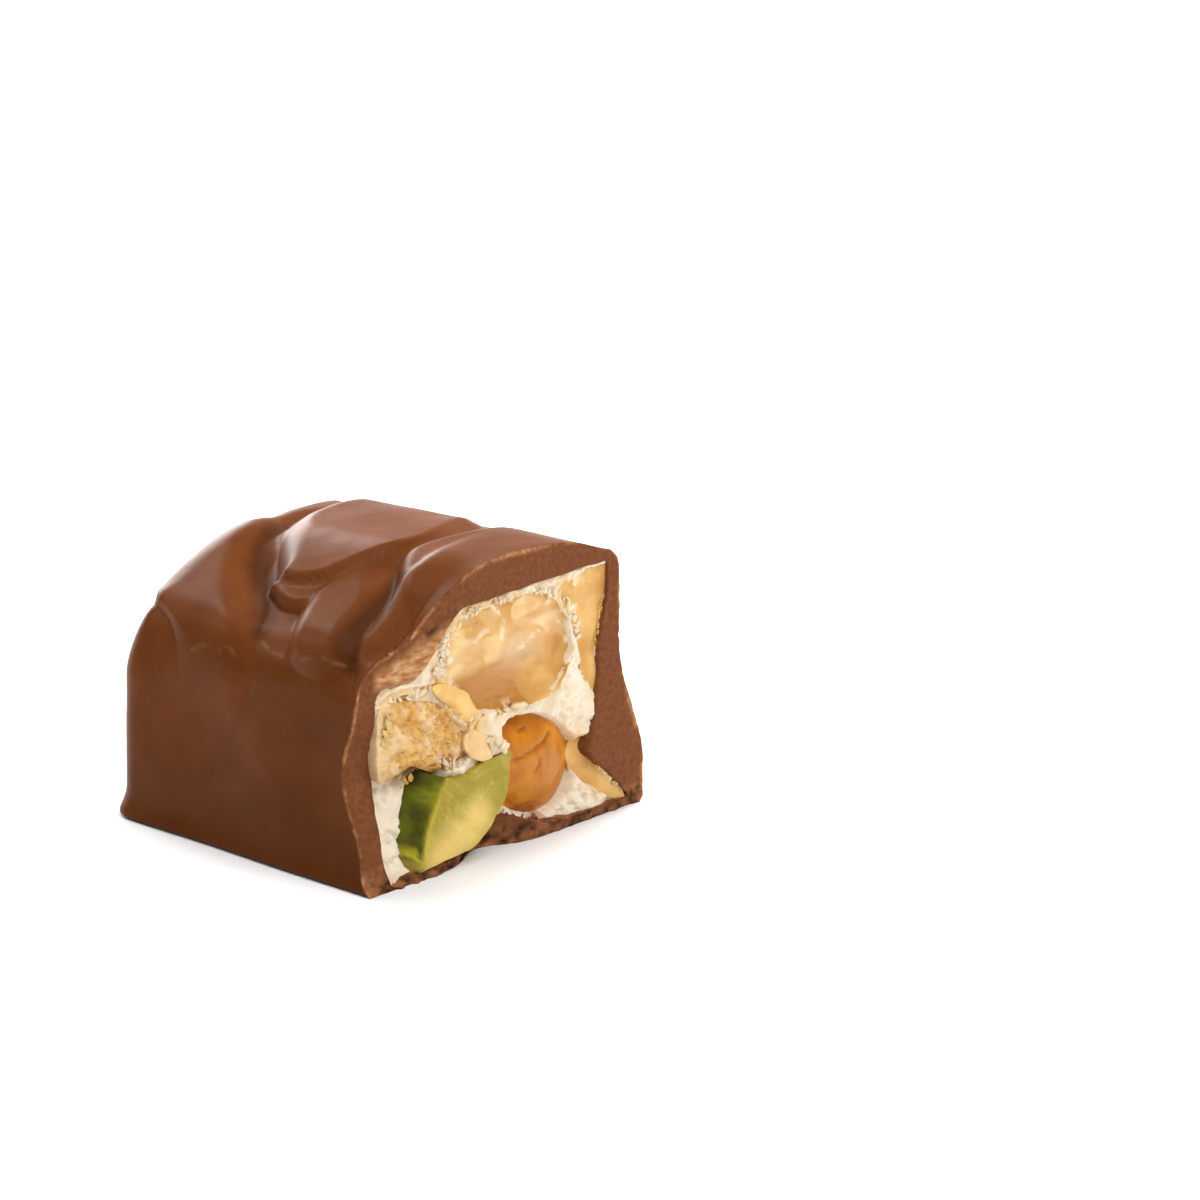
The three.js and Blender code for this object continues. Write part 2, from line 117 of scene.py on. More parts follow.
# Each light's name, its place in metres, and its size and power. All are turned to the bar.
LIGHTS = [
    ("overhead", (0.0, 0.0, 0.36), 0.25, 0.60),
    ("top_front", (0.0, -0.25, 0.30), 0.20, 0.88),
    ("before_cut", (-0.05, -0.36, 0.12), 0.20, 0.13),
    ("left_high", (-0.28, 0.0, 0.28), 0.20, 0.20),
    ("low_behind", (0.15, 0.36, 0.08), 0.25, 1.35),
    ("behind_above", (0.0, 0.28, 0.32), 0.12, 0.60),
    ("behind_left", (-0.20, 0.30, 0.26), 0.10, 0.35),
    ("right", (0.36, 0.12, 0.16), 0.22, 3.3),
    ("sheen", (0.34, 0.22, 0.14), 0.50, 0.45),
]
NOT_MIRRORED = {"right"}
ONLY_MIRRORED = {"sheen"}
for name, place, size, power in LIGHTS:
    lamp = bpy.data.lights.new(name, "AREA")
    lamp.size = size
    lamp.energy = power
    light = bpy.data.objects.new(name, lamp)
    light.location = place
    light.visible_glossy = name not in NOT_MIRRORED
    light.visible_diffuse = name not in ONLY_MIRRORED
    light.rotation_euler = (-Vector(place)).to_track_quat("-Z", "Y").to_euler()
    bpy.context.scene.collection.objects.link(light)

world = bpy.data.worlds.new("studio")
world.use_nodes = True
world.node_tree.nodes["Background"].inputs["Color"].default_value = (1.0, 1.0, 1.0, 1)
world.node_tree.nodes["Background"].inputs["Strength"].default_value = 0.02
bpy.context.scene.world = world
bpy.context.scene.view_settings.view_transform = "Standard"


# ---- Chocolate coating ------------------------------------------------------------------------
# A thick shell of milk chocolate, poured over the filling, so that its top lies in slanting
# folds and its left side hangs in lobes. The cut leaves it open in front, with a matte face.

SHOULDER_HEIGHT = 16.0
CROWN_HEIGHT = 20.9
FOOT_HEIGHT = 1.2
DROP = 0.09  # how much the top sinks for each mm away from the cut


def fade(t, low, high):
    """A smooth step from 0 at low to 1 at high."""
    t = np.clip((t - low) / (high - low), 0, 1)
    return t * t * (3 - 2 * t)


def hill(t, centre, reach):
    """A bell of height 1 over its centre."""
    return np.exp(-(((t - centre) / reach) ** 2))


def round_meet(a, b, radius):
    """Two surfaces' distances joined into one, with their meeting edge rounded."""
    inside = np.minimum(np.maximum(a, b), -radius)
    return inside + np.hypot(np.maximum(a + radius, 0), np.maximum(b + radius, 0))


def lumps(p, size, seed=0, octaves=3):
    """A smooth random relief in space, from -1 to 1, with bumps of about the given size."""
    total = np.zeros(len(p))
    weight = 0.0
    for octave in range(octaves):
        q = p * (2**octave / size) + 17.3 * (seed + octave)
        cell = np.floor(q).astype(np.int64)
        part = q - cell
        part = part * part * (3 - 2 * part)
        value = np.zeros(len(p))
        for corner in np.ndindex(2, 2, 2):
            i, j, k = (cell + corner).T
            h = (i * 374761393 + j * 668265263 + k * 1274126177 + seed * 9176131) & 0xFFFFFFFF
            h = ((h ^ (h >> 13)) * 1103515245) & 0xFFFFFFFF
            h = ((h ^ (h >> 16)) & 0xFFFF) / 32767.5 - 1
            share = np.prod(np.where(corner, part, 1 - part), axis=1)
            value += h * share
        total += value * 0.5**octave
        weight += 0.5**octave
    return total / weight


def left_skin(y, z):
    """How far the left side lies from the bar's left edge. It flares out at the foot."""
    skin = 0.4 * (1 - hill(z, 0, FOOT_HEIGHT)) + 0.35 * (z / SHOULDER_HEIGHT)
    return skin + 0.18 * np.sin(y * 0.42 + 1.2) * hill(z, 7, 6)


def right_skin(y, z):
    """The right side's place, which leans in most beside the cut."""
    lean = 2.5 * (0.4 + 0.6 * (1 - fade(y, 2, 18))) * fade(z, 3, 12.5)
    return BAR_WIDTH - lean - 0.5 * fade(y, 4, 20)


def end_skin(x, z):
    return BAR_LENGTH - 0.45 * (1 - hill(z, 0, FOOT_HEIGHT)) - 0.5 * (z / CROWN_HEIGHT) ** 2


def crown(x, y):
    """The height of the top, which sinks beside the cut, where the knife pressed it down."""
    rise = (CROWN_HEIGHT - SHOULDER_HEIGHT) * fade(x, -2.5, 12.5)
    pressed = 1.9 * hill(x, 4.6, 4.6) * (1 - fade(y, 0.8, 4.2))
    return SHOULDER_HEIGHT + rise - pressed - 1.2 * (np.maximum(0, x - 15) / 10) ** 2 - DROP * y


def coat_form(x, y, z):
    """Negative inside the bar, 0 on its skin, before its folds."""
    along = np.clip(y, 0, BAR_LENGTH)
    sides = np.maximum(left_skin(along, z) - x, x - right_skin(along, z))
    walls = round_meet(sides, y - end_skin(x, z), 2.2)
    rounding = 2.6 - 1.3 * fade(x, 10, 20) + 1.3 * fade(along, 15, 24)
    return round_meet(round_meet(walls, z - crown(x, along), rounding), -z, 0.5)


# Each fold is a lobe with a closed outline. The outline's points are: how far from the left
# shoulder, across the top or, below 0, down the side; how far from the cut; how wide the lobe's
# edge is there; and how crisp, from 0, rolled over, to 1, a slope up to a sharp crest. Its
# height falls off by tilt from a point of its middle.
LOBES = {
    "far": dict(height=0.9, edge=[
        (-6, 12.4, 3.0, 0), (-1, 12.3, 2.4, 0), (0.9, 12.6, 2.2, 0), (2.5, 13.9, 2.2, 0),
        (4.2, 15.6, 2.2, 0), (6.0, 17.4, 2.2, 0), (8.8, 19.6, 2.4, 0), (11, 20.1, 2.4, 0),
        (14, 20.3, 2.4, 0), (20, 20.4, 2.0, 0), (24, 31, 3, 0), (-9, 31, 3, 0), (-9, 20, 3, 0)]),
    "high": dict(height=1.55, tilt=(-0.035, 0.02), about=(12, 14), edge=[
        (5.1, 14.3, 1.3, 0), (6.3, 15.6, 2.0, 0), (7.8, 17.1, 2.3, 0), (9.5, 18.7, 2.5, 0),
        (11.4, 20.2, 2.5, 0), (14.5, 21.4, 2.4, 0), (21, 22.5, 3.0, 0), (26, 18, 3, 0),
        (24, 9.8, 3.0, 0.5), (18.5, 7.2, 2.6, 0.8), (14.1, 6.0, 2.3, 1), (11.2, 6.1, 2.2, 1),
        (8.8, 7.3, 1.8, 1), (7.0, 8.7, 1.3, 1), (5.6, 10.3, 1.0, 0.9), (5.0, 12.5, 1.0, 0.4)]),
    "facet": dict(height=1.15, tilt=(-0.1, 0.05), about=(4, 12.5), edge=[
        (3.7, 10.6, 0.9, 0), (3.7, 12.4, 0.8, 0), (4.3, 13.9, 0.9, 0), (5.3, 15.2, 0.9, 0),
        (8.0, 13.5, 1.0, 0), (8.0, 10.5, 0.8, 0), (6.0, 8.9, 1.0, 0), (4.6, 9.2, 1.1, 0)]),
    "middle": dict(height=1.25, cap=1.35, tilt=(-0.06, 0.02), about=(4, 7.5), edge=[
        (0.0, 8.9, 1.7, 0), (1.8, 9.8, 1.8, 0), (3.6, 10.7, 1.8, 0), (5.4, 11.3, 1.8, 0.1),
        (9.5, 11.2, 2.0, 0.3), (13.5, 10.4, 2.0, 0), (12.4, 8.6, 2.2, 0.3), (9.6, 6.9, 2.3, 0.4),
        (7.6, 5.1, 2.2, 0.4), (5.6, 4.1, 2.0, 0.3), (3.4, 4.0, 1.8, 0), (1.0, 3.6, 1.6, 0),
        (-0.7, 4.0, 1.5, 0), (-1.3, 5.9, 1.5, 0), (-0.9, 7.7, 1.5, 0)]),
    "near": dict(height=1.05, tilt=(-0.01, 0.06), about=(6, 3.5), edge=[
        (-1.8, 1.0, 1.4, 0), (-1.2, 2.3, 1.3, 0), (0.8, 3.5, 1.1, 0), (2.2, 4.1, 1.0, 0),
        (3.7, 4.2, 1.0, 0), (5.2, 4.2, 1.0, 0), (6.6, 4.7, 1.1, 0.1), (8.2, 6.0, 1.3, 0.3),
        (9.9, 7.6, 1.4, 0.4), (12.4, 8.4, 1.6, 0.4), (16, 8.4, 1.8, 0.4), (21, 8.0, 2.4, 0.3),
        (26, 4, 3, 0), (26, -4, 3, 0), (-1, -4, 3, 0)]),
    "ripple": dict(height=0.35, tilt=(-0.03, 0), about=(8, 4), edge=[
        (5.0, 0.6, 2.0, 0), (6.2, 3.2, 1.2, 0), (7.6, 4.3, 0.8, 0), (9.2, 4.5, 0.7, 0),
        (11.0, 4.8, 0.8, 0), (13, 5.3, 1.1, 0), (17, 5.8, 1.8, 0), (22, 5.6, 3, 0),
        (27, 3, 3, 0), (27, -4, 3, 0), (3, -5, 3, 0)]),
    "curl": dict(height=0.5, edge=[
        (-6, 12.4, 3, 0), (2.2, 13.0, 3, 0), (6.4, 16.8, 3.4, 0), (12, 20.4, 3, 0), (14, 31, 3, 0),
        (4, 31, 1, 0), (2.6, 25, 0.9, 0), (2.0, 23, 0.7, 0), (1.4, 21.6, 0.6, 0), (0.7, 20.6, 0.7, 0),
        (-0.6, 19.6, 1.6, 0), (-3.4, 18.7, 3.0, 0), (-7, 17, 3, 0)]),
}
ON_TOP = {"ripple", "curl"}
SOFT_CREASE = 0.3
HALVINGS = 24


def smooth_outline(points, steps=6):
    """A closed curve through the points, with steps pieces from each to the next."""
    points = np.array(points, float)
    before, after, beyond = (np.roll(points, n, axis=0) for n in (1, -1, -2))
    rows = []
    for t in np.arange(steps) / steps:
        rows.append(0.5 * (
            2 * points + (after - before) * t
            + (2 * before - 5 * points + 4 * after - beyond) * t**2
            + (3 * points - before - 3 * after + beyond) * t**3))
    return np.stack(rows, axis=1).reshape(-1, points.shape[1])


def inside_outline(outline, s, y):
    """How far each point lies inside a closed outline, and the outline's own values there."""
    nearest = np.full(len(s), 1e9)
    values = np.zeros((len(s), outline.shape[1] - 2))
    inside = np.zeros(len(s), bool)
    for a, b in zip(outline, np.roll(outline, -1, axis=0)):
        run = b[:2] - a[:2]
        share = np.clip(((s - a[0]) * run[0] + (y - a[1]) * run[1]) / (run @ run + 1e-9), 0, 1)
        distance = np.hypot(s - a[0] - share * run[0], y - a[1] - share * run[1])
        closer = distance < nearest
        nearest[closer] = distance[closer]
        values[closer] = (a[2:] + (b[2:] - a[2:]) * share[:, None])[closer]
        crosses = (a[1] > y) != (b[1] > y)
        if run[1]:
            inside ^= crosses & (s < a[0] + run[0] * (y - a[1]) / run[1])
    return np.where(inside, nearest, -nearest), values.T


def fold_height(s, y):
    """How far the folds stand out, from the distances past the shoulder and from the cut."""
    height = np.zeros(len(s))
    ripples = np.zeros(len(s))
    for name, lobe in LOBES.items():
        depth, (width, crisp) = inside_outline(smooth_outline(lobe["edge"]), s, y)
        roll = np.clip(depth / np.maximum(width, 0.1), 0, 1)
        rolled = 0.6 * np.sqrt(1 - (1 - roll) ** 2) + 0.4 * fade(roll, 0, 1)
        profile = rolled * (1 - crisp) + roll**1.5 * crisp
        tilt, about = lobe.get("tilt", (0, 0)), lobe.get("about", (0, 0))
        level = lobe["height"] + tilt[0] * (s - about[0]) + tilt[1] * (y - about[1])
        lobe_height = np.clip(level, 0, lobe.get("cap", 9)) * profile
        if name in ON_TOP:
            ripples += lobe_height
        else:
            apart = np.maximum(SOFT_CREASE - abs(height - lobe_height), 0) / SOFT_CREASE
            height = np.maximum(height, lobe_height) + apart**2 * SOFT_CREASE / 4
    return height + ripples


def leave(form, start, out):
    """Where the line from each start, along out, leaves the form."""
    inner, outer = np.zeros(len(start)), np.ones(len(start))
    for _ in range(HALVINGS):
        middle = (inner + outer) / 2
        point = start + out * middle[:, None]
        within = form(*point.T) < 0
        inner = np.where(within, middle, inner)
        outer = np.where(within, outer, middle)
    return start + out * inner[:, None]


OUTER_BOX = np.array([[-2.0, 0.0, -1.0], [31.0, 28.0, 23.0]])
CORE_BOX = np.array([[6.0, 0.0, 3.0], [20.5, 20.0, 12.5]])


def on_form(form, unit):
    """Moves points of a cube, from -1 to 1, out to a form's surface."""
    target = OUTER_BOX[0] + (unit + 1) / 2 * (OUTER_BOX[1] - OUTER_BOX[0])
    start = np.clip(target, CORE_BOX[0], CORE_BOX[1])
    return leave(form, start, target - start)


def cut_depth(x, z):
    """How far the broken edge of the coating lies behind the foremost point of the cut."""
    left = 3.2 * hill(z, 8.2, 5.5) + 0.35 * hill(z, 1.6, 1.6) + 1.1 * fade(z, 11, 16)
    left *= fade(z, -0.6, 1.2)
    return left * (1 - fade(x, 1, 11)) + 1.7 * hill(x, 12.5, 2.6) * hill(z, 0, 3)


def coat_skin(unit):
    """The outer skin of the coating, with its folds, for points of a cube."""
    p = on_form(coat_form, unit)
    p[:, 1] += cut_depth(p[:, 0], p[:, 2]) * np.clip(1 - p[:, 1] / 20, 0, 1)
    x, y, z = p.T
    step = 0.02
    normal = np.stack([
        coat_form(x + step, y, z) - coat_form(x - step, y, z),
        coat_form(x, np.maximum(y, step) + step, z) - coat_form(x, np.maximum(y, step) - step, z),
        coat_form(x, y, z + step) - coat_form(x, y, z - step),
    ], axis=1)
    normal[y < 1.5, 1] = 0
    normal /= np.linalg.norm(normal, axis=1)[:, None] + 1e-9
    below_top = z - crown(x, np.clip(y, 0, BAR_LENGTH))
    from_shoulder = below_top - (left_skin(y, z) - x)
    kept = (1 - fade(x, 20, 25)) * (1 - fade(y, 23, 26.5)) * fade(z, 8, 15)
    kept *= 0.35 + 0.65 * fade(from_shoulder, -2.5, 3)
    p += normal * (fold_height(from_shoulder, y) * kept)[:, None]
    p += normal * (0.05 * lumps(p, 3.0, seed=3) * fade(z, 0.3, 2))[:, None]
    p[abs(p[:, 2]) < 0.02, 2] = 0
    return p


def left_wall(z):
    return 2.55 + 0.65 * hill(z, 7.8, 4)


def right_wall(z):
    wall = 23.1 + 1.5 * fade(z, 10, 18) + 0.4 * hill(z, 10.5, 1.6) - 0.6 * hill(z, 5.3, 0.9)
    return wall + 3.4 * (1 - fade(z, 0.5, 5))


def top_wall(x, y):
    return 14.3 + 4.7 * fade(x, 5.2, 10) - DROP * y


def base_wall(x):
    return 0.2 + 0.45 * fade(x, 3, 5) + 1.5 * hill(x, 14.4, 2.8)


END_WALL = 2.6
CAVITY_HEIGHT = 18


def filling_form(x, y, z):
    """Negative inside the cavity that the coating leaves for its filling."""
    top = z - top_wall(x, np.clip(y, 0, BAR_LENGTH))
    left_corner = round_meet(left_wall(z) - x, top, 0.8)
    section = np.maximum(left_corner, round_meet(x - right_wall(z), top, 0.5))
    sides = round_meet(section, y - (BAR_LENGTH - END_WALL), 1.5)
    return np.maximum(sides, base_wall(x) - z)


def new_piece(name, mesh, points, node, material):
    """Finishes a bmesh as a scene object at the origin, its points placed in metres."""
    data = bpy.data.meshes.new(name)
    mesh.to_mesh(data)
    mesh.free()
    data.vertices.foreach_set("co", ((points + CORNER) * MM).astype(np.float32).ravel())
    data.polygons.foreach_set("use_smooth", np.ones(len(data.polygons), bool))
    data.update()
    data.materials.append(material)
    piece = bpy.data.objects.new(name, data)
    bpy.context.scene.collection.objects.link(piece)
    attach(piece, "root")
    if node:
        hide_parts(node)
    return piece


def paint(piece, name, values):
    """Keeps a value for each point of a piece, for its material to read."""
    layer = piece.data.attributes.new(name, "FLOAT", "POINT")
    layer.data.foreach_set("value", np.asarray(values, np.float32))


def line_distance(x, z, line):
    """How far points are from a line of straight pieces."""
    nearest = np.full(len(x), 1e9)
    for a, b in zip(np.array(line[:-1], float), np.array(line[1:], float)):
        run = b - a
        share = np.clip(((x - a[0]) * run[0] + (z - a[1]) * run[1]) / (run @ run), 0, 1)
        nearest = np.minimum(nearest, np.hypot(x - a[0] - share * run[0], z - a[1] - share * run[1]))
    return nearest


def cube_grid(cuts):
    """A cube from -1 to 1 whose faces are fine grids, and its points as an array."""
    mesh = bmesh.new()
    bmesh.ops.create_cube(mesh, size=2)
    bmesh.ops.subdivide_edges(mesh, edges=mesh.edges[:], cuts=cuts, use_grid_fill=True)
    return mesh, np.array([v.co[:] for v in mesh.verts])


def finish_nodes(name):
    """A new material, with helpers to add nodes to it and link them."""
    material = bpy.data.materials.new(name)
    material.use_nodes = True
    tree = material.node_tree
    shader = tree.nodes["Principled BSDF"]

    def add(kind, settings=None, **inputs):
        node = tree.nodes.new(kind)
        for key, value in (settings or {}).items():
            setattr(node, key, value)
        for key, value in inputs.items():
            socket = node.inputs[int(key[1:])] if key[0] == "_" else node.inputs[key]
            if isinstance(value, bpy.types.NodeSocket):
                tree.links.new(value, socket)
            else:
                socket.default_value = value
        return node

    return material, shader, add, tree.links.new


def noise(add, scale, detail, place=None):
    """A random pattern fixed to the piece."""
    place = place or add("ShaderNodeTexCoord").outputs["Object"]
    return add("ShaderNodeTexNoise", Vector=place, Scale=scale, Detail=detail).outputs["Fac"]


def painted(add, name):
    """The values painted on the piece's points under this name."""
    return add("ShaderNodeAttribute", {"attribute_name": name}).outputs["Fac"]


def tones(add, fac, dark, light, low=0.35, high=0.7):
    """A colour that goes from dark to light as the factor goes from low to high."""
    ramp = add("ShaderNodeValToRGB", Fac=fac)
    for element, where, color in zip(ramp.color_ramp.elements, (low, high), (dark, light)):
        element.position = where
        element.color = (*color, 1)
    return ramp.outputs[0]


def over(add, fac, under, color):
    """A colour laid over another, as far as the factor says."""
    return add("ShaderNodeMix", {"data_type": "RGBA"}, _0=fac, _6=under, _7=color).outputs[2]


GRAIN_DEPTH = 0.0001


def add_grain(shader, add, link, grain, strength):
    """Fine grain, smaller than the mesh can hold."""
    bump = add("ShaderNodeBump", Strength=strength, Distance=GRAIN_DEPTH, Height=grain)
    link(bump.outputs[0], shader.inputs["Normal"])


# A fine cube becomes the shell. Its front side holds the cut: from its edge inwards come the
# matte ring of chocolate, the walls of the cavity, and the cavity's end, which closes behind.
COAT_CUTS = 109
RING_SHARE = 0.62
CENTRE_SHARE = 0.05
WALL_SHARE = 0.7
END_SHARE = 0.3
CAVITY_DEPTH = 21
HEART = np.array([14.0, 9.0])  # where the cavity's end closes
PORES = [(4.8, 16.9), (6.8, 17.7), (8.1, 18.4), (9.2, 19.0)]  # a line of pits in the ring

coat_mesh, unit = cube_grid(COAT_CUTS)
front = unit[:, 1] < -1 + 1e-6
across, up = unit[:, 0], unit[:, 2]
share = np.maximum(abs(across), abs(up))

points = np.zeros_like(unit)
points[~front] = coat_skin(unit[~front])
edge_unit = unit[front].copy()
edge_unit[:, [0, 2]] /= np.maximum(share[front], 1e-6)[:, None]
outer_edge = coat_skin(edge_unit)
inner_edge = on_form(filling_form, edge_unit)
inner_edge[:, [0, 2]] += 0.12 * np.stack([lumps(inner_edge, 1.1, 5), lumps(inner_edge, 1.1, 6)], 1)
ring = np.clip((share[front] - RING_SHARE) / (1 - RING_SHARE), 0, 1)[:, None]
outward = outer_edge - inner_edge
outward[:, 1] = 0
outward /= np.linalg.norm(outward, axis=1)[:, None]
face = inner_edge + (outer_edge - inner_edge) * ring
face += outward * (0.10 * lumps(face, 0.6, 14)[:, None]) * fade(ring, 0.88, 1)
face[abs(face[:, 2]) < 0.12, 2] = 0
face[:, 1] = cut_depth(face[:, 0], face[:, 2])
pores = 1 - fade(line_distance(face[:, 0], face[:, 2], PORES), 0.15, 0.55)
crumbly = 1 - fade(face[:, 2] + 0.3 * lumps(face, 1.3, 12), 0.9, 2.0)
worn = 0.06 * lumps(face, 0.7, 8) + 0.05 * lumps(face * [1, 1, 0.25], 0.3, 9)
worn += 0.42 * crumbly * lumps(face, 0.8, 13) + 0.25 * pores * abs(lumps(face, 0.5, 16))
face[:, 1] += worn * np.minimum(ring[:, 0] * 6, (1 - ring[:, 0]) * 8).clip(0, 1)
inward = np.clip((RING_SHARE - share[front]) / (RING_SHARE - CENTRE_SHARE), 0, 1)[:, None]
closing = np.clip((inward - WALL_SHARE) / END_SHARE, 0, 1)
face[:, [0, 2]] += (HEART - face[:, [0, 2]]) * closing
run_back = CAVITY_DEPTH * np.minimum(inward[:, 0] / WALL_SHARE, 1)
face[:, 1] += run_back
face[:, 2] -= DROP * run_back * face[:, 2] / CAVITY_HEIGHT
points[front] = face

# What is painted on the coating: the matte cut face, the crumbly strip with nougat drawn over
# it, the pale broken edge, the dark and light broken base, pale scuffs with a painted highlight on
# the crests, painted shade in the valleys and creases between the folds, and a darker foot.
CHOCOLATE_MARKS = ("cut", "smear", "crumb", "base", "bloom", "hollow")


def chocolate_finish():
    """Milk chocolate, softly glossy on its skin and matte where it is cut."""
    material, shader, add, link = finish_nodes("milk_chocolate")
    place = add("ShaderNodeTexCoord").outputs["Object"]
    streaks = add("ShaderNodeMapping", {"vector_type": "POINT"}, Vector=place, Scale=(0.3, 1, 1))
    cloud = noise(add, 260.0, 4.0)
    fine = noise(add, 2600.0, 3.0)
    coarse = noise(add, 1000.0, 6.0)
    knife = noise(add, 3200.0, 3.0, streaks.outputs[0])
    color = tones(add, cloud, (0.115, 0.0315, 0.0070), (0.148, 0.042, 0.0100))
    cut_face = tones(add, fine, (0.150, 0.049, 0.017), (0.215, 0.077, 0.031), 0.3, 0.75)
    layers = [
        # Painted shade in the valleys and creases of the folds.
        ("hollow", (0.050, 0.013, 0.003, 1)),
        # Pale scuffs, with a painted highlight along the crests of the folds.
        ("bloom", (0.26, 0.125, 0.065, 1)),
        ("cut", cut_face),
        ("base", tones(add, coarse, (0.045, 0.016, 0.007), (0.31, 0.120, 0.050), 0.36, 0.62)),
        ("smear", tones(add, knife, (0.34, 0.13, 0.042), (0.60, 0.34, 0.165), 0.36, 0.66)),
        ("crumb", tones(add, fine, (0.26, 0.10, 0.035), (0.55, 0.27, 0.12))),
    ]
    for mark, layer in layers:
        color = over(add, painted(add, mark), color, layer)
    link(color, shader.inputs["Base Color"])
    gloss = add("ShaderNodeMapRange", _0=painted(add, "cut"), _3=0.35, _4=0.62)
    link(gloss.outputs[0], shader.inputs["Roughness"])
    set_surface(shader, {"Specular IOR Level": 0.056, "Specular Tint": (1.0, 0.8, 0.55, 1)})
    add_grain(shader, add, link, fine, 0.12)
    return material


# Pale scuffs along the shoulder: how far from it, across the top, and how far from the cut.
SCUFFS = [
    [(-0.9, 17.8), (-0.6, 17.3), (-0.4, 16.6), (-0.5, 15.8)],
    [(-0.8, 15.0), (-0.4, 15.1), (-0.2, 14.8), (-0.1, 14.3), (-0.6, 13.7)],
    [(0.9, 12.0), (0.3, 10.8), (0.1, 9.6)],
    [(-0.1, 7.1), (0.2, 6.1), (0.3, 5.2), (0.2, 4.4), (0.3, 3.9)],
]
# The deep valleys between the folds, where shade is painted darker: the same two distances.
VALLEYS = [
    [(12.6, 21.1), (9.7, 19.6), (7.9, 18.6), (6.4, 17.0), (5.1, 15.0), (4.0, 14.0), (2.6, 12.9),
     (1.7, 12.7)],
    [(8.4, 5.5), (6.7, 4.8), (4.9, 4.5), (3.5, 4.4), (2.6, 4.3), (1.5, 3.9), (0.6, 3.5)],
]
# Steps to all sides, past which the folds' height tells a crest from a crease.
NEARBY = [(0.9, 0), (-0.9, 0), (0, 0.9), (0, -0.9)]

chocolate_look = chocolate_finish()
coating = new_piece("coating", coat_mesh, points, "chocolate_coating", chocolate_look)
marks = {name: np.zeros(len(points)) for name in CHOCOLATE_MARKS}
ring_x, _, ring_z = points[front].T
patchy = lumps(points[front], 1.3, 11)
marks["cut"][front] = 1
marks["crumb"][front] = fade(ring[:, 0] + 0.06 * patchy, 0.88, 0.98) * fade(patchy, -0.35, 0.25)
top_of_smear = 15.6 + 0.42 * (ring_x - 2.5)
marks["smear"][front] = (
    fade(ring_x + 0.4 * patchy, 1.9, 2.6) * (1 - fade(ring_x, 8.2, 9.6)) * fade(ring_z, 14.0, 14.8)
    * (1 - fade(ring_z + 0.3 * patchy, top_of_smear - 0.7, top_of_smear + 0.5)))
marks["base"][front] = np.maximum(crumbly, pores * fade(patchy, -0.4, 0.2))
coat_x, coat_y, coat_z = points.T
over_side = coat_z - crown(coat_x, coat_y) - left_skin(coat_y, coat_z)
over_side += coat_x
from_scuffs = np.min([line_distance(over_side, coat_y, line) for line in SCUFFS], axis=0)
scuffed = 0.4 * (1 - fade(from_scuffs, 0.04, 0.28)) * fade(lumps(points, 0.9, 15), -0.4, 0.2)
heights_nearby = [fold_height(over_side + a, coat_y + b) for a, b in NEARBY]
bulge = fold_height(over_side, coat_y) - np.mean(heights_nearby, axis=0)
folded = fade(coat_z, 12, 15) * (1 - marks["cut"]) * fade(over_side, -1.5, 2.0)
# Pale scuffs along the shoulder, and a painted highlight along the crests of the folds.
marks["bloom"] = np.maximum(scuffed * (coat_x < 8), 0.20 * fade(bulge, 0.08, 0.45) * folded)
# Painted shade along the deep valleys and in the creases between the folds; the skin also darkens
# towards the foot.
from_valleys = np.min([line_distance(over_side, coat_y, line) for line in VALLEYS], axis=0)
valley_shade = 0.75 * (1 - fade(from_valleys + 0.3 * lumps(points, 1.5, 17), 0.1, 1.2))
valley_shade *= fade(coat_z, 11, 14)
foot = 0.35 * (1 - fade(coat_z, 0, 9))
shaded = np.max([0.25 * fade(-bulge, 0.1, 0.6) * folded, valley_shade, foot], axis=0)
marks["hollow"] = shaded * (1 - marks["cut"])
for name, values in marks.items():
    paint(coating, name, values)


# ---- Almond pieces ----------------------------------------------------------------------------
# Blanched almonds, broken when the bar was cut. Each is a lump set in the nougat, that shows a
# waxy broken face with steps and cracks, creamier where nougat sticks to it.

NUT_SIDES = 160
nut_outlines = []


def nut_body(outline, front, lean, dome, depth, flare=0.0, ragged=0.22):
    """A ball's rings moved onto a nut piece: a shown face, and a rounded back."""
    nut_outlines.append(outline)
    mesh = bmesh.new()
    bmesh.ops.create_uvsphere(mesh, u_segments=NUT_SIDES, v_segments=NUT_SIDES // 2, radius=1)
    ball = np.array([v.co[:] for v in mesh.verts])
    polar = np.arccos(np.clip(-ball[:, 1], -1, 1))
    around = np.arctan2(ball[:, 2], ball[:, 0])
    rims = smooth_outline(outline, 24)
    middle = np.mean(outline, axis=0)
    angles = np.arctan2(rims[:, 1] - middle[1], rims[:, 0] - middle[0])
    order = np.argsort(angles)
    reach = np.interp(around, angles[order], np.hypot(*(rims - middle).T)[order], period=2 * math.pi)
    compass = np.stack([np.cos(around), np.zeros_like(around), np.sin(around)], axis=1)
    reach = reach + ragged * lumps(compass * reach[:, None] + middle[0], 0.9, 31, 2)
    ring = np.sin(polar)
    behind = np.maximum(0, -np.cos(polar))
    out = ring * (reach + 2 * flare * behind)
    x = middle[0] + out * np.cos(around)
    z = middle[1] + out * np.sin(around)
    y = front + lean[0] * (x - middle[0]) + lean[1] * (z - middle[1]) - dome * (1 - ring**2)
    return mesh, x, y + depth * behind, z, ring, behind


def face_share(ring, behind):
    """1 over a nut's shown face, down to 0 at its rim and behind."""
    return (1 - ring**10) * (behind == 0)


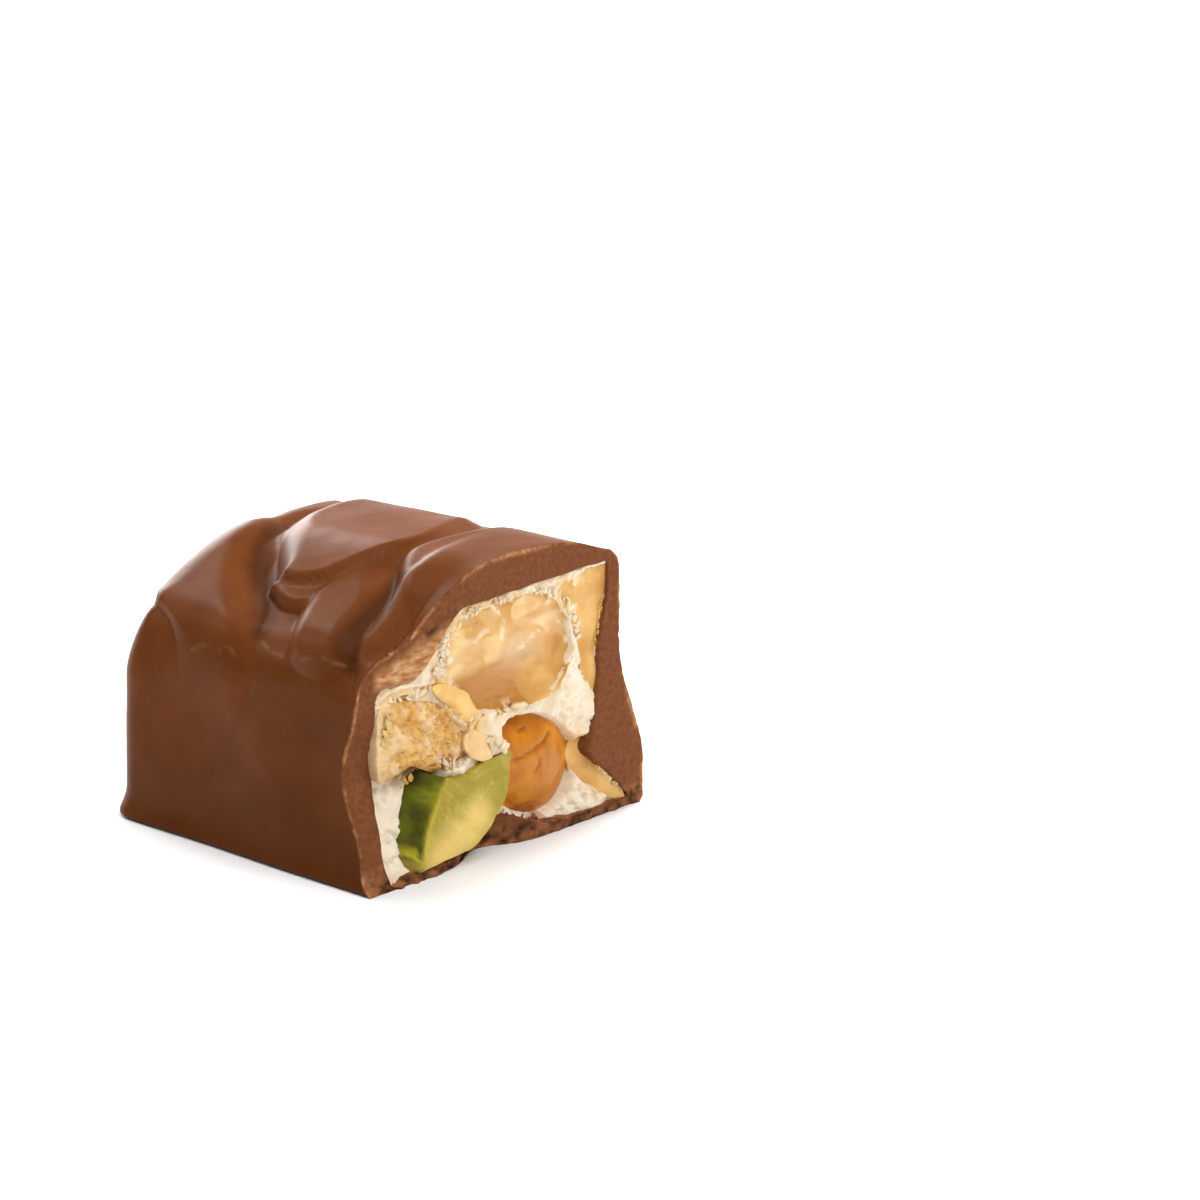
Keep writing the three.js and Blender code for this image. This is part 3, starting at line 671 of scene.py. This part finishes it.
# Each piece's outline on the cut, how far back its face lies and leans, how much that is domed,
# how deep the piece goes, how much it flares behind, and how ragged its rim is.
ALMONDS = {
    "almond_large": dict(
        outline=[(8.8, 13.0), (8.4, 14.6), (8.3, 16.1), (8.7, 17.4), (9.5, 18.3), (10.8, 18.5),
                 (12.9, 18.4), (14.9, 18.5), (16.9, 18.5), (18.7, 17.9), (20.0, 16.8), (20.8, 15.5),
                 (21.3, 13.8), (21.1, 12.6), (19.8, 10.8), (18.7, 10.2), (16.4, 10.0), (14.9, 10.0),
                 (12.7, 10.3), (11.2, 10.9), (9.9, 11.9)],
        front=0.5, lean=(-0.02, 0.03), dome=0, depth=6.5, flare=0.2, ragged=0.25),
    "almond_right": dict(
        outline=[(20.0, 18.3), (21.4, 18.5), (23.0, 18.8), (24.6, 18.8), (24.9, 17.9), (24.7, 16.6),
                 (24.3, 15.1), (24.0, 13.6), (23.7, 12.4), (23.7, 11.3), (23.9, 10.1), (23.7, 9.2),
                 (23.3, 9.0), (22.7, 10.0), (22.2, 10.9), (21.8, 12.1), (21.6, 13.2), (21.1, 14.3),
                 (20.6, 15.4), (20.0, 16.6)],
        front=0.4, lean=(-0.03, 0), dome=0.1, depth=5.5, ragged=0.15),
    "almond_corner": dict(
        outline=[(22.0, 6.2), (23.0, 6.2), (23.4, 5.2), (23.8, 4.1), (24.5, 3.0), (25.6, 1.7),
                 (26.3, 0.8), (25.2, 0.8), (24.0, 1.4), (23.0, 2.1), (22.2, 2.7), (21.8, 3.5),
                 (21.6, 4.6), (21.7, 5.5)],
        front=0.9, lean=(-0.3, 0), dome=0.1, depth=3.5, ragged=0.15),
    "almond_left": dict(
        outline=[(2.9, 13.2), (4.4, 13.1), (5.9, 13.0), (7.7, 12.5), (8.9, 11.7), (9.6, 11.0),
                 (10.4, 10.1), (10.9, 9.0), (11.1, 7.8), (10.4, 7.3), (9.4, 6.9), (7.8, 7.0),
                 (6.8, 7.5), (6.0, 8.0), (5.1, 7.8), (4.0, 7.4), (3.1, 7.5), (2.8, 10.2)],
        front=1.4, lean=(-0.1, -0.05), dome=0.4, depth=5, ragged=0.2),
    "almond_sliver": dict(
        outline=[(7.1, 13.7), (8.4, 13.7), (9.3, 13.2), (10.3, 12.6), (10.8, 11.9), (11.3, 10.8),
                 (10.6, 10.4), (9.6, 10.9), (8.7, 11.9), (7.6, 12.8)],
        front=0.4, lean=(0, 0.08), dome=0.35, depth=1.2, ragged=0.15),
    "almond_chip": dict(
        outline=[(10.2, 9.5), (11.1, 9.6), (12.1, 8.9), (12.7, 7.7), (12.5, 7.0), (11.4, 7.2),
                 (10.5, 7.9), (10.0, 8.7)],
        front=0.25, lean=(-0.06, 0.05), dome=0.2, depth=1.2, ragged=0.1),
}
# The cracks in the large piece. Two pieces are more amber all over, and one is creamier.
CRACKS = [
    [(12.85, 16.9), (12.3, 16.1), (11.6, 15.2)],
    [(13.4, 18.1), (14.1, 16.8), (14.1, 15.5)],
    [(13.6, 14.2), (16.3, 14.6), (18.4, 15.4)],
]
MORE_AMBER = {"almond_right": 0.25, "almond_corner": 0.25}
LEAST_CREAM = {"almond_chip": 0.35}


def nut_finish(name, dark, light, roughness):
    """A waxy nut: mottled, a little see-through, darker where amber and paler where cream."""
    material, shader, add, link = finish_nodes(name)
    color = tones(add, noise(add, 500.0, 5.0), dark, light, 0.35, 0.62)
    amber = (dark[0] * 0.72, dark[1] * 0.58, dark[2] * 0.4, 1)
    color = over(add, painted(add, "amber"), color, amber)
    color = over(add, painted(add, "cream"), color, (0.88, 0.72, 0.48, 1))
    link(color, shader.inputs["Base Color"])
    set_surface(shader, {
        "Roughness": roughness, "Specular IOR Level": 0.25, "Subsurface Weight": 0.25,
        "Subsurface Radius": (1.0, 0.6, 0.3), "Subsurface Scale": 0.0008})
    add_grain(shader, add, link, noise(add, 2600.0, 3.0), 0.35)
    return material


def large_face(x, z, flat, relief, amber, cream):
    """A ridge crosses the face, which is amber below it and broken off at its upper left.

    It is split into thin flakes, with amber in the splits, and has three cracks filled with cream.
    """
    under_ridge = np.maximum(0, 15.0 + 0.12 * (x - 12) - z)
    relief = relief * 0.6 + 0.16 * under_ridge + 0.25 * np.maximum(0, x - 18.8)
    relief += 0.35 * fade(13.1 - x - 0.6 * (z - 16), 0, 0.5) * fade(z, 14.4, 15.2)
    low_amber = 0.9 * fade(under_ridge, 0.2, 2.0) * (1 - 0.7 * fade(x, 15, 19))
    amber = np.maximum(amber * 0.6, low_amber)
    amber = np.maximum(amber, 0.6 * fade(x, 19.0, 20.2))
    splits = fade(lumps(flat * [0.5, 1, 1.15], 1.9, 92, 2), -0.03, 0.07)
    flakes = fade(lumps(flat * [0.6, 1, 1.3], 1.0, 94, 2), 0.0, 0.10)
    relief += 0.16 * splits + 0.08 * flakes
    amber = np.clip(amber + 0.30 * (1 - splits), 0, 1)
    cream = np.maximum(cream, (0.25 * splits + 0.15 * flakes) * fade(1.4 - under_ridge, -1, 1))
    cream = np.maximum(cream, 0.42 * hill(x, 15.6, 2.6) * hill(z, 14.6, 1.5))
    wandering_x = x + 0.25 * lumps(flat, 0.7, 90)
    wandering_z = z + 0.25 * lumps(flat, 0.7, 91)
    broken = fade(lumps(flat, 0.8, 93), -0.35, 0.1)
    for crack in CRACKS:
        beside = 1 - fade(line_distance(wandering_x, wandering_z, crack), 0.05, 0.40)
        cream = np.maximum(cream, 0.8 * beside * broken)
        relief = relief - 0.16 * beside * broken
    return relief, amber, cream


def left_face(x, z, flat, relief, amber, cream):
    """Granules all over, amber in their gaps and darker at the bottom, creamy in patches and at the
    left.
    """
    granules = abs(lumps(flat, 0.6, 95)) + 0.6 * abs(lumps(flat, 0.3, 96))
    relief = relief + 0.3 * lumps(flat, 1.2, 98) - 0.65 * granules
    amber = (1 - fade(granules, 0.05, 0.30)) * 0.6 + 0.5 * (1 - fade(z, 7.4, 9.2)) + 0.1
    cream = 0.45 * fade(lumps(flat, 0.7, 84), 0.05, 0.4)
    cream = np.maximum(cream, 0.45 * (1 - fade(x + 0.6 * lumps(flat, 1.1, 85), 3.2, 4.1)))
    return relief, amber, cream


def right_face(x, z, flat, relief, amber, cream):
    """Bits of nougat cling along the left edge."""
    bits = fade(21.9 - x + 0.25 * (z - 16), 0, 1.2)
    relief = relief + bits * (0.3 * lumps(flat, 0.6, 99) - 0.1)
    cream = np.maximum(cream, bits * fade(lumps(flat, 0.6, 100), -0.1, 0.3))
    return relief, amber, cream


FACES = {"almond_large": large_face, "almond_left": left_face, "almond_right": right_face}

almond_look = nut_finish("blanched_almond", (0.66, 0.34, 0.08), (0.84, 0.54, 0.19), 0.42)
for seed, (name, form) in enumerate(ALMONDS.items()):
    mesh, x, y, z, ring, behind = nut_body(**form)
    flat = np.stack([x, np.zeros_like(x), z], axis=1)
    ledges = np.round(lumps(flat, 3.2, 40 + seed, 1) * 2.2) / 2.2
    relief = 0.10 * ledges + 0.14 * lumps(flat, 2.2, 50 + seed) + 0.05 * lumps(flat, 0.6, 60 + seed)
    amber = fade(lumps(flat, 4.0, 70 + seed), 0.0, 0.7) * 0.6
    cream = fade(lumps(flat, 0.9, 80 + seed), 0.25, 0.5) * fade(ring, 0.75, 0.97)
    if name in FACES:
        relief, amber, cream = FACES[name](x, z, flat, relief, amber, cream)
    amber = amber + MORE_AMBER.get(name, 0)
    cream = np.maximum(cream, LEAST_CREAM.get(name, 0))
    y = y + relief * face_share(ring, behind)
    nut_points = np.stack([x, y, z], axis=1)
    almond = new_piece(name + "_piece", mesh, nut_points, name, almond_look)
    paint(almond, "amber", np.clip(amber, 0, 1))
    paint(almond, "cream", np.clip(cream, 0, 1))


# ---- Brown-skinned nut ------------------------------------------------------------------------
# A whole almond half in its thin skin, smooth and glossy, with a few long wrinkles and a dark
# round tip at the bottom.

WRINKLES = [
    [(15.2, 5.7), (16.4, 5.9), (17.6, 6.3), (18.8, 6.6), (19.6, 7.0)],
    [(16.2, 7.5), (16.8, 7.8), (17.4, 7.9)],
    [(17.7, 4.6), (18.1, 5.0), (18.3, 5.5)],
]
TIP = (17.7, 1.5)

mesh, x, y, z, ring, behind = nut_body(
    outline=[(13.9, 8.4), (14.9, 9.1), (16.4, 9.3), (18.2, 9.1), (20.1, 8.2), (21.2, 7.3),
             (21.9, 6.3), (22.3, 5.2), (22.2, 3.7), (21.7, 2.3), (20.9, 1.4), (19.8, 0.9),
             (18.5, 0.8), (17.2, 1.2), (15.6, 2.2), (14.3, 4.2), (13.4, 6.6)],
    front=2.2, lean=(-0.06, 0), dome=1.5, depth=5.5, ragged=0.05)
flat = np.stack([x, np.zeros_like(x), z], axis=1)
wrinkle = sum(1 - fade(line_distance(x, z, line), 0.03, 0.22) for line in WRINKLES)
wrinkle *= fade(lumps(flat, 1.0, 102), -0.6, 0.1)
from_tip = np.hypot(x - TIP[0], (z - TIP[1]) * 2.0)
toward = np.arctan2(z - TIP[1], x - TIP[0])
veins = lumps(np.stack([toward * 3.5, from_tip * 0.12, np.zeros_like(x)], axis=1), 0.35, 103)
tip_edge = hill(from_tip, 1.25, 0.16) * (z > TIP[1])
y += (0.14 * wrinkle + 0.14 * tip_edge + 0.04 * veins + 0.06 * lumps(flat, 1.8, 101)) * (behind == 0)
nut_points = np.stack([x, y, z], axis=1)
skin_look = nut_finish("nut_skin", (0.50, 0.165, 0.010), (0.64, 0.24, 0.020), 0.33)
skinned = new_piece(
    "almond_skinned_piece", mesh, nut_points, "almond_skinned", skin_look)
# Darker along the veins, the wrinkles, round the tip, and in a band along the upper left rim, where
# it is painted shade.
shade = 0.45 * fade(veins, 0.0, 0.6) + wrinkle * 0.9 + 0.5 * fade(z, 7.6, 8.6) * (1 - fade(x, 16, 18))
shade += 0.5 * tip_edge + 0.75 * (1 - fade(from_tip, 0.9, 1.3))
paint(skinned, "amber", np.clip(shade, 0, 1))
paint(skinned, "cream", np.clip(0.55 * hill(ring, 0.93, 0.04) * (x > 18), 0, 1))


# ---- Pistachio --------------------------------------------------------------------------------
# A thick piece of pistachio kernel: dark green skin on its left side, and a paler broken face,
# green at its rim and yellow in the middle.

SKIN_EDGE = [(8.0, 7.6), (7.7, 6.7), (7.1, 5.5), (6.5, 4.3), (6.0, 3.2), (5.4, 0.9)]
mesh, x, y, z, ring, behind = nut_body(
    outline=[(5.8, 6.7), (6.6, 7.4), (7.6, 7.0), (9.4, 6.6), (12, 7.1), (14.0, 7.4), (14.4, 7.1),
             (14.2, 6.2), (13.9, 4.3), (12.9, 3.0), (11.5, 1.7), (10.2, 1.1), (7.6, 0.9),
             (6.0, 0.7), (5.0, 0.6), (4.6, 1.2), (4.7, 2.5), (5.15, 4.3), (5.5, 5.6)],
    front=0.0, lean=(-0.02, 0.02), dome=0.0, depth=5.0, ragged=0.14)
flat = np.stack([x, np.zeros_like(x), z], axis=1)
edge_places, edge_heights = np.array(SKIN_EDGE[::-1]).T
edge_x = np.interp(z, edge_heights, edge_places)
skin_side = edge_x - x + 0.15 * lumps(flat, 0.9, 115)
slanted = flat @ np.array([[0.8, 0, 0.6], [0, 1, 0], [-0.6, 0, 0.8]])
fibres = lumps(slanted * [0.3, 1, 1], 0.8, 114)
ticks = abs(lumps(slanted * [0.7, 1, 1], 0.45, 116))
shown = face_share(ring, behind)
y += np.maximum(skin_side, 0) * 1.9 * (1 - behind)
y += (0.1 * lumps(flat, 2.0, 111) + 0.08 * fibres) * shown
y += 0.2 * lumps(flat * [3, 1, 1], 1.0, 112) * fade(skin_side, 0, 0.4) * shown
y += 0.12 * ticks * shown


def pistachio_finish():
    """Kernel that goes from green to yellow where pale, under dark skin, with bright green zest."""
    material, shader, add, link = finish_nodes("pistachio_kernel")
    kernel_green = (0.34, 0.265, 0.020, 1)
    kernel = over(add, painted(add, "pale"), kernel_green, (0.78, 0.56, 0.16, 1))
    skin = tones(add, noise(add, 420.0, 4.0), (0.018, 0.017, 0.002), (0.14, 0.15, 0.009))
    color = over(add, painted(add, "skin"), kernel, skin)
    color = over(add, painted(add, "zest"), color, (0.57, 0.48, 0.030, 1))
    link(color, shader.inputs["Base Color"])
    set_surface(shader, {
        "Roughness": 0.42, "Specular IOR Level": 0.2, "Subsurface Weight": 0.15,
        "Subsurface Radius": (1.0, 0.9, 0.3), "Subsurface Scale": 0.0006})
    add_grain(shader, add, link, noise(add, 2200.0, 3.0), 0.2)
    return material


pistachio_look = pistachio_finish()
nut_points = np.stack([x, y, z], axis=1)
pistachio = new_piece(
    "pistachio_piece", mesh, nut_points, "pistachio", pistachio_look)
mottle = lumps(flat, 1.6, 113)
low_bits = fade(1.9 - z + 0.5 * mottle, 0, 0.6) * 0.75
skin = fade(skin_side, -0.05, 0.12) * (1 - low_bits)
paint(pistachio, "skin", np.clip(skin + (behind > 0) * (skin_side > -1), 0, 1))
patch = line_distance(x, z, [(7.0, 1.3), (8.4, 1.8), (9.8, 2.4), (11.0, 3.2)])
middle_patch = hill(patch + 0.4 * mottle, 0, 1.5)
pale = middle_patch + 0.22 * fade(fibres, 0, 0.5) + 0.2 * (1 - fade(ticks, 0.0, 0.08))
paint(pistachio, "pale", np.clip(pale, 0, 1))
zest = 0.6 * hill(skin_side, -0.1, 0.17) * (1 - fade(z, 4.0, 6.4)) * fade(mottle, -0.7, 0.1)
zest += 0.9 * fade(lumps(flat, 0.55, 117), -0.1, 0.15) * (1 - fade(z, 1.5, 2.7)) * (x < edge_x - 0.2)
zest += 0.35 * hill(x, 7.4, 0.9) * hill(z, 5.9, 0.9) * fade(lumps(flat, 0.8, 118), -0.1, 0.3)
paint(pistachio, "zest", np.clip(zest, 0, 1))


# ---- Nougat -----------------------------------------------------------------------------------
# White beaten nougat that fills the shell and holds the nuts. Its cut face is rough and porous,
# and stands nearly level with the coating's.

NOUGAT_GRID = (280, 230)
OVERLAP = 0.15  # how far the filling's edges reach into the coating
# A dip over the pistachio, darkened by painted shade, two ridges drawn out under the top left of
# the coating, and the tanned spots: their centres and how far they reach across and up.
POCKET = [(4.7, 6.8), (5.4, 7.3), (6.6, 7.5), (7.8, 7.1)]
BANDS = [[(2.4, 13.5), (4.6, 14.2), (7.4, 13.9)], [(2.6, 13.1), (4.8, 13.6), (7.0, 13.4)]]
TAN_SPOTS = [
    (21.6, 6.6, 1.1, 1.6), (24.6, 3.0, 1.6, 1.4), (9.0, 18.2, 2.5, 0.9),
    (5.0, 13.4, 3.5, 0.7), (13.0, 18.8, 4.5, 0.8), (20.4, 17.6, 1.6, 1.6),
    (8.2, 15.0, 1.0, 2.4), (11.5, 9.8, 3.0, 0.8), (2.6, 9.5, 0.8, 2.8),
]


def nougat_level(x, z):
    """How far the nougat's face lies behind the foremost point of the cut.

    It lies further back round the skinned almond and under the pistachio, and stands up as a
    knob between them.
    """
    level = cut_depth(x, z) * 0.92 + 0.35
    level += 1.9 * hill(x, 17.2, 4.2) * hill(z, 5.2, 4.6) * (1 - fade(x, 22.0, 23.6))
    level += 0.8 * hill(x, 6, 4) * hill(z, 3.5, 3.5)
    return level - 1.3 * hill(x, 13.2, 1.0) * hill(z, 8.0, 0.8)


nougat_mesh = bmesh.new()
bmesh.ops.create_grid(
    nougat_mesh, x_segments=NOUGAT_GRID[0], y_segments=NOUGAT_GRID[1], size=1)
rim = [edge for edge in nougat_mesh.edges if edge.is_boundary]
swept = bmesh.ops.extrude_edge_only(nougat_mesh, edges=rim)["geom"]
bmesh.ops.holes_fill(nougat_mesh, edges=[e for e in swept if isinstance(e, bmesh.types.BMEdge)])
nougat_mesh.verts.index_update()
is_back = np.zeros(len(nougat_mesh.verts), bool)
is_back[[v.index for v in swept if isinstance(v, bmesh.types.BMVert)]] = True
sheet = np.array([v.co[:] for v in nougat_mesh.verts])
u, v = (sheet[:, 0] + 1) / 2, (sheet[:, 1] + 1) / 2

# The walls lean and the top slopes, so each point's place settles over a few rounds.
SETTLING_ROUNDS = 12
x, z = 3 + 21 * u, 1 + 17 * v
for _ in range(SETTLING_ROUNDS):
    low, high = base_wall(x) - OVERLAP, top_wall(x, 0) + OVERLAP
    z = low + (high - low) * v
    near_side, far_side = left_wall(z) - OVERLAP, right_wall(z) + OVERLAP
    x = near_side + (far_side - near_side) * u
spot = np.stack([x, np.zeros_like(x), z], axis=1)
porous = hill(x, 8.8, 2.6) * hill(z, 8.0, 0.7) + hill(x, 24.5, 2.5) * hill(z, 2.4, 1.4)
y = nougat_level(x, z) + 0.32 * lumps(spot, 2.4, 21) + 0.30 * lumps(spot, 0.8, 22)
y += 0.45 * np.maximum(lumps(spot, 0.5, 23) - 0.10, 0) - 0.14 * abs(lumps(spot, 1.0, 24))
y += 0.45 * porous * lumps(spot, 0.45, 25)
pocket = hill(line_distance(x, z, POCKET) + 0.25 * lumps(spot, 0.9, 29), 0, 0.55)
y += 0.6 * pocket
for band in BANDS:
    y -= 0.3 * hill(line_distance(x, z, band), 0, 0.18)
for outline in nut_outlines:
    inside, _ = inside_outline(smooth_outline(outline), x, z)
    y += 1.3 * fade(inside, 0.08, 0.6)
y[is_back] = BAR_LENGTH - END_WALL
z[is_back] -= DROP * y[is_back] * (z[is_back] - base_wall(x[is_back])) / CAVITY_HEIGHT
nougat_points = np.stack([x, y, z], axis=1)


def nougat_finish():
    """White nougat, tanned by the nuts, stained by chocolate, and darkened by painted shade in its
    pocket.
    """
    material, shader, add, link = finish_nodes("white_nougat")
    color = tones(add, noise(add, 420.0, 5.0), (0.75, 0.58, 0.38), (0.86, 0.75, 0.59), 0.3, 0.5)
    color = over(add, painted(add, "tan"), color, (0.76, 0.52, 0.24, 1))
    color = over(add, painted(add, "pink"), color, (0.56, 0.30, 0.19, 1))
    # Painted shade in the pocket over the pistachio.
    color = over(add, painted(add, "olive"), color, (0.24, 0.14, 0.028, 1))
    link(color, shader.inputs["Base Color"])
    set_surface(shader, {
        "Roughness": 0.75, "Specular IOR Level": 0.3, "Subsurface Weight": 0.3,
        "Subsurface Radius": (1.0, 0.8, 0.5), "Subsurface Scale": 0.0006})
    add_grain(shader, add, link, noise(add, 2400.0, 4.0), 0.2)
    return material


nougat_look = nougat_finish()
nougat = new_piece("nougat_filling", nougat_mesh, nougat_points, "nougat", nougat_look)
streaky = lumps(spot * [1, 1, 0.35], 0.8, 26)
tan = sum(hill(x, cx, rx) * hill(z, cz, rz) for cx, cz, rx, rz in TAN_SPOTS)
paint(nougat, "tan", np.clip(tan * fade(streaky, -0.5, 0.2), 0, 1))
rosy = hill(x, 8.6, 2.8) * hill(z, 7.9, 0.8) + 0.5 * hill(x, 13.2, 1.2) * hill(z, 7.6, 1.0)
rosy += 0.8 * (1 - fade(z, 1.9, 2.8)) * (x > 13.5) * (x < 19)
paint(nougat, "pink", np.clip(rosy * fade(lumps(spot, 0.5, 27), -0.1, 0.35), 0, 1))
# Painted shade in the pocket over the pistachio.
paint(nougat, "olive", np.clip(1.1 * pocket * fade(lumps(spot, 0.7, 30), -0.6, 0.0), 0, 1))


# ---- Crumbs -----------------------------------------------------------------------------------
# The knife tore small flakes of nougat, nut and chocolate loose. They stick to the cut along
# the edges of the pieces, pressed flat against it.

FLATNESS = 0.45


def crumbs(name, material, rows, seed, paints):
    """One piece of many small flakes, painted evenly, strewn along rows.

    Each row gives a line across the cut, how many flakes, how far they stray from it, the
    smallest and largest, and, where something stands in front, how far they are lifted.
    """
    rng = np.random.default_rng(seed)
    mesh = bmesh.new()
    places = []
    for line, count, spread, small, large, *lift in rows:
        line = np.array(line, float)
        along = np.sort(rng.random(count)) * (len(line) - 1)
        step = np.minimum(along.astype(int), len(line) - 2)
        spots = line[step] + (line[step + 1] - line[step]) * (along - step)[:, None]
        for x, z in spots + rng.normal(0, spread, (count, 2)):
            size = rng.uniform(small, large)
            flake = bmesh.ops.create_icosphere(mesh, subdivisions=2, radius=1)["verts"]
            shape = np.array([v.co[:] for v in flake])
            shape *= 1 + 0.55 * lumps(shape + len(places), 0.8, seed, 2)[:, None]
            turn = rng.uniform(0, math.pi)
            shape = shape * [1.0, FLATNESS, rng.uniform(0.35, 0.8)] * size
            cosine, sine = math.cos(turn), math.sin(turn)
            shape = shape @ np.array([[cosine, 0, sine], [0, 1, 0], [-sine, 0, cosine]])
            level = nougat_level(np.array([x]), np.array([z]))[0] - 0.25 * size - sum(lift)
            places.append(shape + [x, min(level, 0.9 * level + 0.1), z])
    piece = new_piece(name, mesh, np.concatenate(places), None, material)
    for mark, value in paints.items():
        paint(piece, mark, np.full(len(piece.data.vertices), value))


crumbs("nougat_crumbs", nougat_look, [
    ([(9.4, 18.1), (11.0, 18.5), (14.0, 18.6), (17.6, 18.4), (19.8, 17.6)], 64, 0.17, 0.08, 0.27),
    ([(9.0, 17.6), (8.3, 16.6), (8.1, 15.4), (7.8, 14.2)], 44, 0.24, 0.12, 0.42),
    ([(20.3, 17.6), (21.0, 15.8), (21.6, 14.0)], 16, 0.15, 0.14, 0.34),
    ([(7.6, 7.9), (8.8, 7.6), (10.6, 7.1)], 30, 0.24, 0.08, 0.26),
    ([(12.3, 8.4), (13.2, 8.1), (14.2, 7.5)], 10, 0.16, 0.28, 0.50),
    ([(13.9, 3.0), (14.5, 2.5), (15.6, 2.0)], 9, 0.12, 0.12, 0.26),
    ([(3.8, 13.2), (5.5, 13.5), (7.4, 13.4)], 14, 0.16, 0.16, 0.38),
], 201, {"tan": 0.45, "pink": 0.0, "olive": 0.0})
crumbs("nut_crumbs", almond_look, [
    ([(24.3, 16.8), (23.9, 15.0), (23.6, 12.5)], 22, 0.08, 0.08, 0.20),
    ([(22.8, 4.6), (24.5, 3.0), (26.3, 1.3)], 18, 0.14, 0.08, 0.22),
    ([(9.0, 9.0), (10.4, 10.3), (11.6, 10.3)], 14, 0.28, 0.10, 0.28),
    ([(3.6, 12.6), (3.4, 10.5), (3.6, 8.0)], 40, 0.22, 0.12, 0.36, 0.75),
    ([(5.4, 12.6), (7.8, 12.3), (9.6, 10.9)], 18, 0.20, 0.10, 0.28, 0.45),
    ([(5.4, 7.3), (5.9, 6.9), (5.3, 6.3)], 9, 0.14, 0.12, 0.30),
], 202, {})
crumbs("chocolate_crumbs", chocolate_look, [
    ([(13.9, 10.0), (14.7, 10.1), (15.4, 10.3)], 7, 0.08, 0.10, 0.20),
    ([(6.0, 0.6), (10.0, 0.7), (12.6, 1.7), (16.0, 1.7), (19.0, 0.8)], 34, 0.15, 0.14, 0.32),
], 203, {mark: float(mark in ("cut", "base")) for mark in CHOCOLATE_MARKS})
crumbs("pistachio_crumbs", pistachio_look, [
    ([(5.6, 2.2), (6.0, 1.2), (7.2, 0.9)], 16, 0.22, 0.10, 0.26),
    ([(5.4, 7.9), (6.4, 7.9), (7.4, 7.6)], 8, 0.12, 0.08, 0.20),
], 204, {"skin": 0.25, "pale": 0.2, "zest": 0.45})
